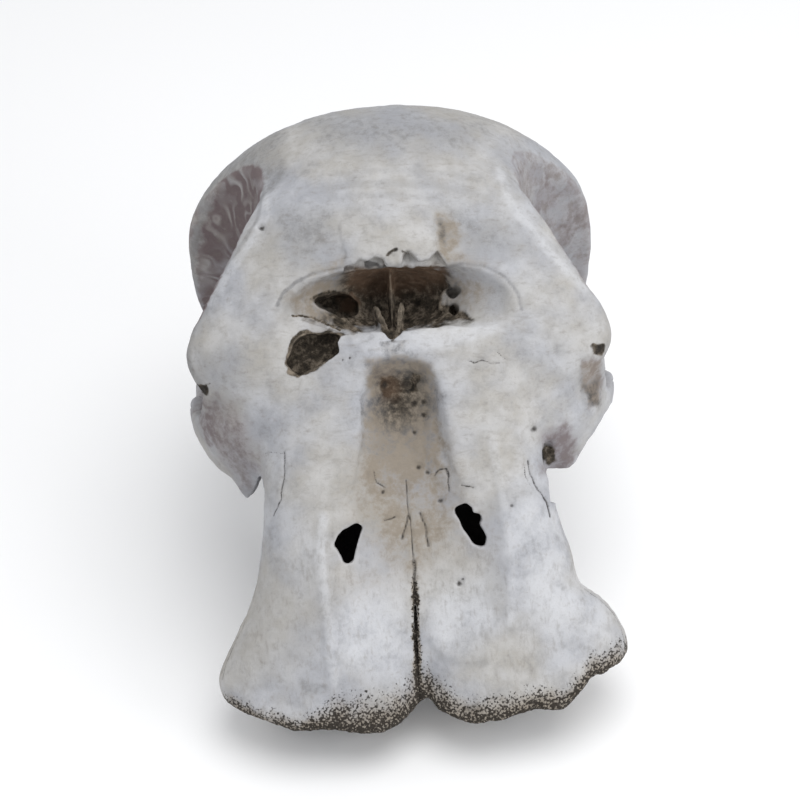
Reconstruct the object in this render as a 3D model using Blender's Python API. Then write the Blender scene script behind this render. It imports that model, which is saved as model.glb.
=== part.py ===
"""Skull of an adult African elephant bull, without tusks and lower jaw, at rest on its sockets and jaw.

Metres, +Z up. The face looks along -Y, +X is the animal's left side, and the floor is at Z = 0.
Each bone is roughed out as closed masses, which are fused and softened as one form, hollowed, softened
again, and then sawn into the named parts. The face, from the tusk sockets' foot to the brow, lies close to
one plane that slopes up and back, so most places are given on it: x across, s up the slope, h out of it.
"""

import math

import bmesh
import bpy
from mathutils import Matrix, Vector

# Driving sizes of the whole skull
SKULL_TOP = 0.900
HALF_WIDTH_VAULT = 0.392
VAULT_LEAN = -0.004
HALF_WIDTH_ARCH = 0.400
HALF_WIDTH_BROW = 0.393
FACE_SLOPE = math.radians(50)
FACE_FOOT = Vector((0.0, -0.60, 0.108))
SOCKET_THICKNESS = 0.195
NARES_HALF_WIDTH = 0.215
SOCKET_SWING = {"left": math.radians(8), "right": math.radians(4)}
SOCKET_OUTER_EDGES = {
    "left": (0.305, 0.358, 0.389, 0.355, 0.303, 0.296, 0.272, 0.253, 0.230),
    "right": (0.305, 0.350, 0.369, 0.327, 0.304, 0.286, 0.269, 0.258, 0.235),
}
CHEEK_SPURS = {"left": 0.058, "right": 0.067}
MOLAR_LENGTH = 0.24
MOLAR_WIDTH = 0.082
MOLAR_MIDDLE = (0.094, -0.030)
MOLAR_TOP = 0.085
MOLAR_PLATES = 9

# How high the floor cuts through the form, which leaves a small flat on each of its feet
FLOOR = 0.0245

# How finely the form is resolved, and how much each stage is softened
RING_POINTS = 36
ROUGH_VOXEL = 0.010
FINE_VOXEL = 0.007
ROUGH_ROUNDS = 8
BLEND_ROUNDS = 4
FINE_ROUNDS = 5
KEPT_TRIANGLES = 10200

# Where the skull is sawn into its parts. On the face: the sockets' top end and how far in they reach, and the
# face's own depth. On the skull: each box's corners, with an arch's X counted outwards on its own side.
SOCKET_SAW = 0.440
SOCKET_DEPTH = 0.25
FACE_DEPTH = 0.215
ARCH_ZONE = ((0.315, -0.50, 0.27), (0.50, 0.17, 0.52))
NECK_ZONE = ((-0.14, 0.372, 0.20), (0.14, 0.70, 0.45))
JAW_ZONE = ((-0.30, -0.50, -0.10), (0.30, 0.135, 0.300))

# Outlines on the face, in x and s: the ragged holes through the front walls of the sockets, and the worn lower
# edge of the lips from the right socket to the left, with the notch between them
RAGGED_HOLE_RIGHT = (
    (-0.094, 0.404), (-0.085, 0.396), (-0.096, 0.367), (-0.106, 0.335), (-0.121, 0.332), (-0.126, 0.348),
    (-0.138, 0.367), (-0.130, 0.384), (-0.119, 0.394),
)
RAGGED_HOLE_LEFT = (
    (0.082, 0.420), (0.102, 0.427), (0.114, 0.418), (0.126, 0.407), (0.129, 0.397), (0.124, 0.388),
    (0.136, 0.364), (0.132, 0.351), (0.122, 0.347), (0.110, 0.354), (0.095, 0.379), (0.089, 0.397),
)
LIP_LINE = (
    (-0.400, 0.115), (-0.345, 0.086), (-0.312, 0.070), (-0.274, 0.057), (-0.226, 0.037), (-0.165, 0.039),
    (-0.105, 0.026), (-0.069, 0.026), (-0.036, 0.040), (-0.015, 0.058), (-0.005, 0.071), (0.005, 0.074),
    (0.017, 0.085), (0.026, 0.062), (0.050, 0.046), (0.089, 0.032), (0.146, 0.036), (0.176, 0.044),
    (0.208, 0.052), (0.254, 0.045), (0.281, 0.068), (0.304, 0.095), (0.315, 0.107), (0.329, 0.099),
    (0.344, 0.113), (0.365, 0.120), (0.380, 0.135), (0.420, 0.150),
)

# The gap between parts that touch, a length that passes the whole skull, and the bend that stays a sharp edge
GAP = 0.0003
FAR = 3.0
SHARP_EDGE = math.radians(40)

# Colour and roughness
BONE_LOOK = ((0.72, 0.71, 0.70, 1.0), 0.75)
TOOTH_LOOK = ((0.60, 0.52, 0.40, 1.0), 0.45)

AXIS_UP = Vector((0.0, math.cos(FACE_SLOPE), math.sin(FACE_SLOPE)))
FACE_OUT = Vector((0.0, -math.sin(FACE_SLOPE), math.cos(FACE_SLOPE)))
ACROSS = Vector((1.0, 0.0, 0.0))
BACK = Vector((0.0, 1.0, 0.0))
UP = Vector((0.0, 0.0, 1.0))
SIDES = {"left": 1, "right": -1}


def clear_scene():
    for obj in list(bpy.data.objects):
        bpy.data.objects.remove(obj)


def on_face(x, s, h):
    """The point x across, s up the slope of the face from its foot, and h out of it."""
    return FACE_FOOT + ACROSS * x + AXIS_UP * s + FACE_OUT * h


def linked(name, mesh):
    body = bpy.data.objects.new(name, mesh)
    bpy.context.scene.collection.objects.link(body)
    return body


def closed_mesh(name, rings):
    """A closed body that bridges rings of equal length and fills both ends, turned to face outwards."""
    count = len(rings[0])
    points = [tuple(p) for ring in rings for p in ring]
    faces = []
    for k in range(len(rings) - 1):
        for j in range(count):
            a = k * count + j
            b = k * count + (j + 1) % count
            faces.append((a, b, b + count, a + count))
    faces.append(tuple(reversed(range(count))))
    faces.append(tuple((len(rings) - 1) * count + j for j in range(count)))
    mesh = bpy.data.meshes.new(name)
    mesh.from_pydata(points, [], faces)
    mesh.calc_loop_triangles()
    volume = 0.0
    for tri in mesh.loop_triangles:
        a, b, c = (mesh.vertices[i].co for i in tri.vertices)
        volume += a.dot(b.cross(c))
    if volume < 0:
        mesh.flip_normals()
    return linked(name, mesh)


def eased(values, t):
    """A Catmull-Rom value at t, counted in stations."""
    k = min(int(t), len(values) - 2)
    u = t - k
    a = values[max(k - 1, 0)]
    b = values[k]
    c = values[k + 1]
    d = values[min(k + 2, len(values) - 1)]
    bend = (2 * a - 5 * b + 4 * c - d) * u**2 + (3 * b - a - 3 * c + d) * u**3
    return 0.5 * (2 * b + (c - a) * u + bend)


def egg_ring(centre, wide, ahead, behind, power, points):
    """A superellipse with its own reach ahead of and behind its widest line."""
    ring = []
    for j in range(points):
        angle = 2 * math.pi * j / points
        c, s = math.cos(angle), math.sin(angle)
        x = math.copysign(abs(c) ** (2 / power), c)
        y = abs(s) ** (2 / power)
        ring.append(centre + wide * x + (ahead if s > 0 else behind) * y)
    return ring


def loft(name, stations, steps=4, points=RING_POINTS):
    """A body through stations of (centre, wide, ahead, behind, power), with eased rings between them."""
    columns = list(zip(*stations))
    rings = []
    for k in range((len(stations) - 1) * steps + 1):
        rings.append(egg_ring(*(eased(column, k / steps) for column in columns), points))
    return closed_mesh(name, rings)


def level_loft(name, rows, x=0.0):
    """A loft of level rings. A row is height, front Y, widest Y, back Y, half-width and power."""
    stations = []
    for z, front, widest, back, half, power in rows:
        middle = Vector((x, widest, z))
        stations.append((middle, ACROSS * half, BACK * (front - widest), BACK * (back - widest), power))
    return loft(name, stations)


def slope_loft(name, rows, swing=0.0):
    """A loft up the face's slope. A row is s, left x, right x, front h, widest h, back h and power.

    The rings' +X ends are swung up the slope by the given angle.
    """
    across = ACROSS * math.cos(swing) + AXIS_UP * math.sin(swing)
    stations = []
    for s, low, high, front, widest, back, power in rows:
        middle = on_face((low + high) / 2, s, widest)
        half = (high - low) / 2
        reaches = FACE_OUT * (front - widest), FACE_OUT * (back - widest)
        stations.append((middle, across * half, *reaches, power))
    return loft(name, stations)


def even_rows(rows, power):
    """Rows for slope_loft of a form that is alike on both sides, given by its half-width."""
    return [(s, -half, half, front, widest, back, power) for s, half, front, widest, back in rows]


def bar(name, rows, power=2.2):
    """An upright bar along points. A row is a point, the half-height and the half-thickness."""
    stations = []
    for k, (point, height, thickness) in enumerate(rows):
        before = rows[max(k - 1, 0)][0]
        after = rows[min(k + 1, len(rows) - 1)][0]
        along = (after - before).normalized()
        thin = along.cross(UP).normalized()
        tall = thin.cross(along).normalized()
        stations.append((point, thin * thickness, tall * height, tall * -height, power))
    return loft(name, stations)


def ball(name, centre, radii, turn=(0, 0, 0)):
    """An ellipsoid, turned by degrees about X, then Y, then Z."""
    turned = Matrix.Identity(3)
    for axis, degrees in zip("XYZ", turn):
        turned = Matrix.Rotation(math.radians(degrees), 3, axis) @ turned
    levels = 14
    rings = []
    for k in range(1, levels):
        angle = math.pi * k / levels
        flat, up = math.sin(angle), -math.cos(angle)
        ring = []
        for j in range(RING_POINTS):
            around = 2 * math.pi * j / RING_POINTS
            local = (flat * math.cos(around), flat * math.sin(around), up)
            ring.append(Vector(centre) + turned @ Vector(r * c for r, c in zip(radii, local)))
        rings.append(ring)
    return closed_mesh(name, rings)


def face_prism(name, outline, back, front):
    """A body with an outline on the face, between two depths."""
    return closed_mesh(name, [[on_face(x, s, h) for x, s in outline] for h in (back, front)])


def applied(body):
    """Turns the body's modifiers into its mesh."""
    graph = bpy.context.evaluated_depsgraph_get()
    mesh = bpy.data.meshes.new_from_object(body.evaluated_get(graph))
    body.modifiers.clear()
    body.data = mesh
    return body


def gathered(name, bodies):
    """One object that holds the shells of all the bodies, still overlapping."""
    points, faces = [], []
    for body in bodies:
        start = len(points)
        points += [tuple(v.co) for v in body.data.vertices]
        faces += [tuple(start + i for i in p.vertices) for p in body.data.polygons]
        bpy.data.objects.remove(body)
    mesh = bpy.data.meshes.new(name)
    mesh.from_pydata(points, [], faces)
    return linked(name, mesh)


def softened(body, voxel, rounds):
    """Fuses overlapping shells into one skin and smooths it."""
    remesh = body.modifiers.new("fuse", "REMESH")
    remesh.mode = "VOXEL"
    remesh.voxel_size = voxel
    smooth = body.modifiers.new("soften", "SMOOTH")
    smooth.factor = 0.5
    smooth.iterations = rounds
    return applied(body)


def combined(body, other, operation):
    """The body after a Boolean with the other, which is removed."""
    change = body.modifiers.new(operation.lower(), "BOOLEAN")
    change.operation = operation
    change.object = other
    change.solver = "MANIFOLD"
    applied(body)
    bpy.data.objects.remove(other)
    return body


def vault():
    """The braincase: a broad dome, widest low at the back, that bulges over the neck."""
    top = SKULL_TOP
    wide = HALF_WIDTH_VAULT
    return level_loft(
        "vault",
        [
            # z, front, widest, back, half-width, power
            (0.34, 0.14, 0.26, 0.395, wide * 0.74, 2.4),
            (0.41, 0.02, 0.25, 0.430, wide * 0.90, 2.5),
            (0.49, -0.06, 0.25, 0.452, wide * 0.985, 2.5),
            (0.58, -0.07, 0.25, 0.463, wide * 1.01, 2.4),
            (0.67, -0.06, 0.25, 0.455, wide * 0.985, 2.3),
            (0.74, -0.03, 0.25, 0.432, wide * 0.880, 2.25),
            (0.80, 0.00, 0.245, 0.400, wide * 0.730, 2.15),
            (0.845, 0.04, 0.235, 0.362, wide * 0.580, 2.05),
            (top - 0.027, 0.095, 0.22, 0.320, wide * 0.43, 2.0),
            (top - 0.008, 0.15, 0.21, 0.270, wide * 0.26, 2.0),
            (top, 0.19, 0.21, 0.230, wide * 0.10, 2.0),
        ],
        x=VAULT_LEAN,
    )


def forehead():
    """The frontal shield, whose edges are the temporal lines and whose corners hook over the eyes."""
    brow = HALF_WIDTH_BROW
    rows = [
        # s, half-width, front h, widest h, back h
        (0.60, brow * 0.80, -0.015, -0.130, -0.210),
        (0.655, brow * 0.93, -0.008, -0.120, -0.190),
        (0.71, brow, -0.004, -0.105, -0.165),
        (0.76, brow * 0.97, -0.004, -0.098, -0.165),
        (0.82, brow * 0.875, -0.008, -0.092, -0.185),
        (0.90, brow * 0.755, -0.012, -0.082, -0.200),
        (0.98, brow * 0.630, -0.020, -0.080, -0.200),
        (1.05, brow * 0.480, -0.052, -0.120, -0.200),
        (1.11, brow * 0.250, -0.110, -0.160, -0.200),
    ]
    return slope_loft("forehead", even_rows(rows, 2.3))


def upper_face():
    """The maxillae between the sockets and the brow."""
    rows = [
        # s, half-width, front h, widest h, back h
        (0.34, 0.215, -0.020, -0.110, -0.200),
        (0.44, 0.245, -0.014, -0.120, -0.230),
        (0.54, 0.275, -0.006, -0.125, -0.260),
        (0.64, 0.305, 0.000, -0.125, -0.280),
        (0.74, 0.315, 0.004, -0.120, -0.280),
    ]
    return slope_loft("upper_face", even_rows(rows, 2.5))


def tusk_socket(name, side):
    """One premaxilla: a long tube that flares to a thick lip. The left one flares wider and higher up."""
    deep = SOCKET_THICKNESS
    rows = [
        # s, inner x, front h, thickness
        (0.015, 0.012, -0.010, deep * 0.86),
        (0.062, 0.004, -0.001, deep * 0.97),
        (0.12, 0.000, 0.000, deep),
        (0.20, -0.004, 0.000, deep * 0.98),
        (0.245, -0.006, 0.000, deep * 0.98),
        (0.29, -0.006, 0.000, deep * 0.98),
        (0.38, -0.006, 0.000, deep),
        (0.50, -0.006, 0.000, deep * 1.05),
        (0.62, -0.006, 0.000, deep * 1.05),
    ]
    placed = []
    for (s, inner, front, thick), outer in zip(rows, SOCKET_OUTER_EDGES[name]):
        ends = sorted((side * inner, side * outer))
        placed.append((s, *ends, front, front - thick * 0.5, front - thick, 2.6))
    return slope_loft(f"socket_{name}", placed, SOCKET_SWING[name] * side)


def socket_web():
    """The premaxillae's middle wall, which closes the gap between the two tubes above the cleft."""
    rows = [
        # s, half-width, front h, widest h, back h
        (0.06, 0.030, -0.060, -0.100, -0.135),
        (0.16, 0.040, -0.036, -0.100, -0.160),
        (0.26, 0.050, -0.024, -0.100, -0.175),
        (0.40, 0.060, -0.016, -0.100, -0.190),
        (0.55, 0.060, -0.010, -0.100, -0.190),
    ]
    return slope_loft("socket_web", even_rows(rows, 2.8))


def jaw_base():
    """The maxillae that carry the molars, from behind the sockets back to the pterygoids."""
    return level_loft(
        "jaw_base",
        [
            # z, front, widest, back, half-width, power
            (0.055, -0.150, -0.02, 0.127, 0.142, 3.0),
            (0.095, -0.195, -0.02, 0.138, 0.146, 3.0),
            (0.160, -0.250, -0.04, 0.147, 0.144, 2.8),
            (0.245, -0.300, -0.06, 0.170, 0.158, 2.6),
            (0.340, -0.300, -0.02, 0.220, 0.205, 2.5),
            (0.460, -0.200, 0.04, 0.280, 0.240, 2.4),
        ],
    )


def pterygoid(name, side):
    """The wing behind the palate that carries the braincase floor down to the molars."""
    return level_loft(
        f"pterygoid_{name}",
        [
            (0.016, 0.088, 0.124, 0.162, 0.026, 2.4),
            (0.060, 0.070, 0.130, 0.178, 0.034, 2.4),
            (0.140, 0.050, 0.140, 0.205, 0.042, 2.4),
            (0.240, 0.040, 0.150, 0.245, 0.055, 2.4),
            (0.320, 0.040, 0.160, 0.280, 0.070, 2.4),
        ],
        x=side * 0.095,
    )


def skull_base():
    """The floor of the braincase, from the jaws back to the neck joint."""
    return level_loft(
        "skull_base",
        [
            # z, front, widest, back, half-width, power
            (0.235, 0.13, 0.22, 0.300, 0.100, 2.4),
            (0.275, 0.09, 0.25, 0.380, 0.190, 2.4),
            (0.330, 0.06, 0.27, 0.415, 0.290, 2.4),
            (0.400, 0.04, 0.27, 0.430, 0.330, 2.4),
        ],
    )


def neck_knob(name, side):
    """An occipital condyle."""
    centre = (side * 0.058, 0.412, 0.330)
    return ball(f"neck_knob_{name}", centre, (0.047, 0.056, 0.070), (-25, side * 14, side * 25))


def occipital_bulge(name, side):
    """The swelling of the back wall beside the pit of the neck's ligament."""
    centre = (side * 0.165, 0.368, 0.600)
    return ball(f"occipital_{name}", centre, (0.165, 0.100, 0.215), (6, 0, side * -16))


def ear_swelling(name, side):
    """The bony ear capsule under the braincase."""
    return ball(f"ear_{name}", (side * 0.135, 0.235, 0.262), (0.060, 0.075, 0.045), (10, 0, side * -25))


def jaw_hinge(name, side):
    """The glenoid bar under the rear root of the cheek arch, where the lower jaw hung."""
    rows = [
        # x, y, z, half-height, half-thickness
        (0.120, 0.190, 0.300, 0.040, 0.045),
        (0.210, 0.200, 0.315, 0.045, 0.045),
        (0.290, 0.215, 0.350, 0.045, 0.040),
        (0.345, 0.240, 0.395, 0.040, 0.035),
    ]
    return bar(f"hinge_{name}", [(Vector((side * x, y, z)), tall, thin) for x, y, z, tall, thin in rows])


def cheek_process(name, side):
    """The root of the cheek arch, which also makes the front and lower rim of the eye socket."""
    rows = [
        # x, y, z, half-height, half-thickness
        (0.130, -0.165, 0.440, 0.085, 0.060),
        (0.220, -0.160, 0.440, 0.092, 0.052),
        (0.290, -0.135, 0.438, 0.092, 0.040),
        (0.338, -0.100, 0.437, 0.088, 0.032),
        (0.372, -0.050, 0.425, 0.072, 0.024),
        (0.390, 0.005, 0.400, 0.046, 0.018),
    ]
    return bar(f"cheek_{name}", [(Vector((side * x, y, z)), tall, thin) for x, y, z, tall, thin in rows])


def cheek_spur(name, side):
    """The rough spur under the cheek process. It is long on the right, and worn short on the left."""
    radii = (0.027, 0.028, CHEEK_SPURS[name])
    return ball(f"spur_{name}", (side * 0.298, -0.142, 0.375), radii, (-18, side * 14, 0))


def cheek_arch(name, side):
    """The jugal and squamosal bar, a tall thin plate that bows out past the temple."""
    wide = HALF_WIDTH_ARCH - 0.016
    rows = [
        (wide - 0.016, -0.045, 0.405, 0.046, 0.020),
        (wide, 0.02, 0.385, 0.040, 0.018),
        (wide + 0.002, 0.09, 0.380, 0.038, 0.017),
        (wide, 0.16, 0.395, 0.042, 0.019),
        (wide - 0.022, 0.225, 0.420, 0.055, 0.030),
        (wide - 0.070, 0.285, 0.430, 0.070, 0.050),
    ]
    return bar(f"arch_{name}", [(Vector((side * x, y, z)), tall, thin) for x, y, z, tall, thin in rows])


def temporal_hollow(name, side):
    """The deep temple behind the brow, where the jaw muscle lay."""
    rows = [
        # x, y, z, half across, half along Y
        (0.330, 0.08, 0.22, 0.060, 0.060),
        (0.345, 0.08, 0.32, 0.100, 0.095),
        (0.385, 0.09, 0.44, 0.140, 0.125),
        (0.425, 0.10, 0.56, 0.185, 0.140),
        (0.430, 0.11, 0.66, 0.185, 0.140),
        (0.400, 0.13, 0.76, 0.155, 0.125),
        (0.345, 0.15, 0.83, 0.105, 0.095),
        (0.300, 0.165, 0.875, 0.060, 0.060),
    ]
    stations = []
    for x, y, z, across, along in rows:
        middle = Vector((side * x, y, z))
        stations.append((middle, ACROSS * across, BACK * -along, BACK * along, 2.2))
    return loft(f"temple_{name}", stations)


def eye_hollow(name, side):
    """The eye socket, open to the side and to the temple behind it."""
    centre = (side * 0.378, -0.020, 0.512)
    return ball(f"eye_{name}", centre, (0.115, 0.078, 0.058), (0, side * 8, side * -12))


def nares():
    """The nose opening: a wide kidney that droops at its ends and deepens in the middle."""
    half = NARES_HALF_WIDTH
    rows = [
        # x, s, half-height, front h, back h
        (-half, 0.768, 0.012, 0.03, -0.018),
        (-half * 0.86, 0.780, 0.040, 0.03, -0.034),
        (-half * 0.60, 0.796, 0.052, 0.04, -0.058),
        (-half * 0.30, 0.800, 0.056, 0.05, -0.120),
        (0.0, 0.800, 0.060, 0.05, -0.150),
        (half * 0.30, 0.800, 0.056, 0.05, -0.120),
        (half * 0.60, 0.796, 0.054, 0.04, -0.058),
        (half * 0.86, 0.785, 0.044, 0.03, -0.034),
        (half, 0.776, 0.014, 0.03, -0.018),
    ]
    stations = []
    for x, s, tall, front, back in rows:
        stations.append((on_face(x, s, 0), AXIS_UP * tall, FACE_OUT * front, FACE_OUT * back, 2.2))
    return loft("nares", stations)


def nose_bone():
    """The nasal bones: a broad blunt boss that overhangs the nose opening."""
    return slope_loft(
        "nose_bone",
        [
            (0.855, -0.050, 0.050, -0.004, -0.030, -0.060, 2.6),
            (0.872, -0.080, 0.080, 0.006, -0.030, -0.070, 2.6),
            (0.910, -0.084, 0.086, 0.004, -0.030, -0.070, 2.6),
            (0.965, -0.074, 0.078, -0.018, -0.040, -0.070, 2.6),
        ],
    )


def socket_trough():
    """The hollow between the tusk sockets, deepest under the nose and widening downwards."""
    rows = [
        # s, half-width, depth
        (0.700, 0.050, -0.004),
        (0.655, 0.074, 0.046),
        (0.600, 0.084, 0.054),
        (0.520, 0.098, 0.046),
        (0.430, 0.122, 0.036),
        (0.350, 0.152, 0.030),
        (0.270, 0.166, 0.026),
        (0.160, 0.168, 0.024),
        (0.060, 0.158, 0.022),
        (-0.050, 0.140, 0.022),
    ]
    return slope_loft("trough", [(s, -half, half, 0.10, 0.04, -deep, 2.0) for s, half, deep in rows])


def tusk_hole(name, side):
    """The empty alveolus that held the tusk."""
    rows = [
        # s, centre x, half-width, half-thickness
        (-0.04, 0.185, 0.098, 0.068),
        (0.03, 0.180, 0.090, 0.066),
        (0.10, 0.172, 0.082, 0.063),
        (0.20, 0.155, 0.072, 0.058),
        (0.30, 0.138, 0.062, 0.052),
        (0.38, 0.125, 0.048, 0.042),
        (0.43, 0.118, 0.026, 0.024),
    ]
    placed = []
    for s, x, half, deep in rows:
        middle = side * x
        placed.append((s, middle - half, middle + half, -0.098 + deep, -0.098, -0.098 - deep, 2.0))
    return slope_loft(f"tusk_hole_{name}", placed)


def throat_opening():
    """The choanae: the passage up between the pterygoids behind the palate."""
    return level_loft(
        "throat",
        [
            (-0.05, 0.06, 0.16, 0.34, 0.055, 2.3),
            (0.06, 0.06, 0.16, 0.34, 0.055, 2.3),
            (0.16, 0.07, 0.15, 0.26, 0.050, 2.3),
            (0.25, 0.09, 0.14, 0.19, 0.038, 2.3),
        ],
    )


def palate():
    """The narrow arched roof of the mouth between the molars."""
    rows = [
        # y, half-width, height of the vault
        (-0.34, 0.070, 0.140),
        (-0.26, 0.050, 0.130),
        (-0.18, 0.036, 0.110),
        (-0.05, 0.032, 0.095),
        (0.06, 0.038, 0.095),
        (0.16, 0.050, 0.110),
    ]
    stations = []
    for y, half, top in rows:
        stations.append((Vector((0, y, 0)), ACROSS * half, UP * top, UP * -0.08, 2.0))
    return loft("palate", stations)


def nuchal_pit():
    """The hollow at the back of the braincase that anchored the neck's ligament."""
    return ball("nuchal_pit", (0, 0.490, 0.625), (0.050, 0.075, 0.120), (8, 0, 0))


def spine_hole():
    """The foramen magnum, between and above the condyles."""
    return bar(
        "spine_hole",
        [
            (Vector((0, 0.52, 0.385)), 0.036, 0.036),
            (Vector((0, 0.42, 0.375)), 0.034, 0.034),
            (Vector((0, 0.34, 0.365)), 0.026, 0.026),
        ],
    )


def broken_wall():
    """The window broken into the face below the right end of the nose opening."""
    return ball("broken_wall", on_face(-0.148, 0.700, -0.020), (0.052, 0.040, 0.036), (40, -18, 0))


def cheek_hollow():
    """The hollow under the left cheek process, where a nerve left the bone."""
    return ball("cheek_hollow", on_face(0.262, 0.492, -0.085), (0.018, 0.040, 0.030), (25, 0, 10))


def below_lips():
    """All that lies below the worn edge of the sockets' lips, to cut it away."""
    corners = (0.42, -0.15), (-0.40, -0.15)
    return face_prism("below_lips", LIP_LINE + corners, -0.30, 0.10)


def ragged_holes():
    """The two holes broken through the front walls of the tusk sockets."""
    outlines = {"ragged_hole_right": RAGGED_HOLE_RIGHT, "ragged_hole_left": RAGGED_HOLE_LEFT}
    return [face_prism(name, outline, -0.10, 0.06) for name, outline in outlines.items()]


def each_side(make):
    return [make(name, side) for name, side in SIDES.items()]


def skull_form():
    """The whole skull as one softened skin, with its openings."""
    masses = [vault(), upper_face(), jaw_base(), skull_base(), socket_web()]
    masses += each_side(tusk_socket) + each_side(pterygoid) + each_side(ear_swelling) + each_side(jaw_hinge)
    masses += each_side(occipital_bulge)
    body = softened(gathered("form", masses), ROUGH_VOXEL, ROUGH_ROUNDS)
    for cutter in each_side(temporal_hollow):
        combined(body, cutter, "DIFFERENCE")
    masses = [forehead(), nose_bone()]
    masses += each_side(neck_knob) + each_side(cheek_process) + each_side(cheek_spur)
    body = softened(gathered("form", [body] + masses), ROUGH_VOXEL, BLEND_ROUNDS)
    cutters = [nares(), socket_trough(), broken_wall(), cheek_hollow(), throat_opening(), palate()]
    cutters += [nuchal_pit(), spine_hole(), below_lips()]
    for cutter in cutters + each_side(eye_hollow) + each_side(tusk_hole):
        combined(body, cutter, "DIFFERENCE")
    body = softened(gathered("form", [body] + each_side(cheek_arch)), FINE_VOXEL, FINE_ROUNDS)
    fewer = body.modifiers.new("fewer", "DECIMATE")
    fewer.ratio = KEPT_TRIANGLES / (2 * len(body.data.polygons))
    fewer.use_collapse_triangulate = True
    applied(body)
    for cutter in ragged_holes():
        combined(body, cutter, "DIFFERENCE")
    return largest_only(body)


def largest_only(body):
    """Drops all but the largest closed surface, such as loose scraps and sealed hollows."""
    form = bmesh.new()
    form.from_mesh(body.data)
    left = set(form.faces)
    islands = []
    while left:
        front = [left.pop()]
        island = list(front)
        while front:
            face = front.pop()
            near = {other for edge in face.edges for other in edge.link_faces} & left
            left -= near
            front += near
            island += near
        islands.append(island)
    islands.sort(key=lambda faces: sum(face.calc_area() for face in faces))
    scraps = [face for island in islands[:-1] for face in island]
    bmesh.ops.delete(form, geom=scraps, context="FACES")
    form.to_mesh(body.data)
    form.free()
    return body


def box(name, low, high, origin=Vector(), axes=(ACROSS, BACK, UP)):
    """A box between two corners, in the axes and from the origin given."""
    rings = []
    for z in (low[2], high[2]):
        corners = ((low[0], low[1], z), (high[0], low[1], z), (high[0], high[1], z), (low[0], high[1], z))
        rings.append([origin + axes[0] * a + axes[1] * b + axes[2] * c for a, b, c in corners])
    return closed_mesh(name, rings)


def grown(low, high, by):
    return [c - by for c in low], [c + by for c in high]


def sawn_off(body, name, low, high, **frame):
    """Takes what lies in a box off the body as a part of its own, with the gap between them."""
    piece = linked(name, body.data.copy())
    combined(piece, box("zone", low, high, **frame), "INTERSECT")
    combined(body, box("zone", *grown(low, high, GAP), **frame), "DIFFERENCE")
    return largest_only(piece)


def one_side(side, zone):
    """A zone's corners with its X counted outwards on the given side."""
    low, high = zone
    ends = sorted((side * low[0], side * high[0]))
    return (ends[0], *low[1:]), (ends[1], *high[1:])


def material(name, colour, roughness):
    made = bpy.data.materials.new(name)
    made.use_nodes = True
    shader = made.node_tree.nodes["Principled BSDF"]
    shader.inputs["Base Color"].default_value = colour
    shader.inputs["Roughness"].default_value = roughness
    shader.inputs["Metallic"].default_value = 0.0
    return made


def molar_body(name, side, extra):
    """A cheek tooth's rounded block, larger by extra all round."""
    x, y = MOLAR_MIDDLE
    half = MOLAR_LENGTH / 2
    shares = ((-1.0, 0.60), (-0.9, 0.86), (-0.6, 0.98), (0.0, 1.0), (0.6, 0.96), (0.9, 0.84), (1.0, 0.60))
    stations = []
    for along, share in shares:
        middle_z = FLOOR + MOLAR_TOP / 2 + 0.006
        middle = Vector((side * (x + 0.004 * along), y + along * (half + extra), middle_z))
        wide = ACROSS * (MOLAR_WIDTH / 2 * share + extra)
        lift = 0.016 * (1 - along) / 2
        low = UP * -(MOLAR_TOP / 2 - lift - 0.004 + extra)
        stations.append((middle, wide, UP * (MOLAR_TOP / 2 + extra), low, 3.4))
    return loft(name, stations, steps=1, points=16)


def molar_plates(side, extra):
    """The worn enamel plates across a cheek tooth's chewing face, larger by extra all round."""
    x, y = MOLAR_MIDDLE
    pitch = MOLAR_LENGTH * 0.9 / MOLAR_PLATES
    plates = []
    for k in range(MOLAR_PLATES):
        along = (k + 0.5) / MOLAR_PLATES * 2 - 1
        middle_y = y + (k + 0.5 - MOLAR_PLATES / 2) * pitch
        lift = 0.016 * (1 - along) / 2
        half = MOLAR_WIDTH / 2 * (0.80 - 0.18 * along**4) + extra
        rings = []
        for z, swell in ((lift + 0.002 - extra, 0.72), (lift + 0.020 + extra, 1.0)):
            thick = pitch * 0.40 * swell + extra
            outline = ((-half, 0), (-half * 0.25, -thick), (half * 0.25, -thick), (half, 0))
            outline += ((half * 0.25, thick), (-half * 0.25, thick))
            rings.append([Vector((side * x + a, middle_y + b, FLOOR + z)) for a, b in outline])
        plates.append(closed_mesh("plate", rings))
    return plates


def molar(name, side):
    """A cheek tooth with its enamel plates."""
    body = molar_body(f"molar_{name}", side, 0.0)
    for plate in molar_plates(side, 0.0):
        combined(body, plate, "UNION")
    return body


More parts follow.
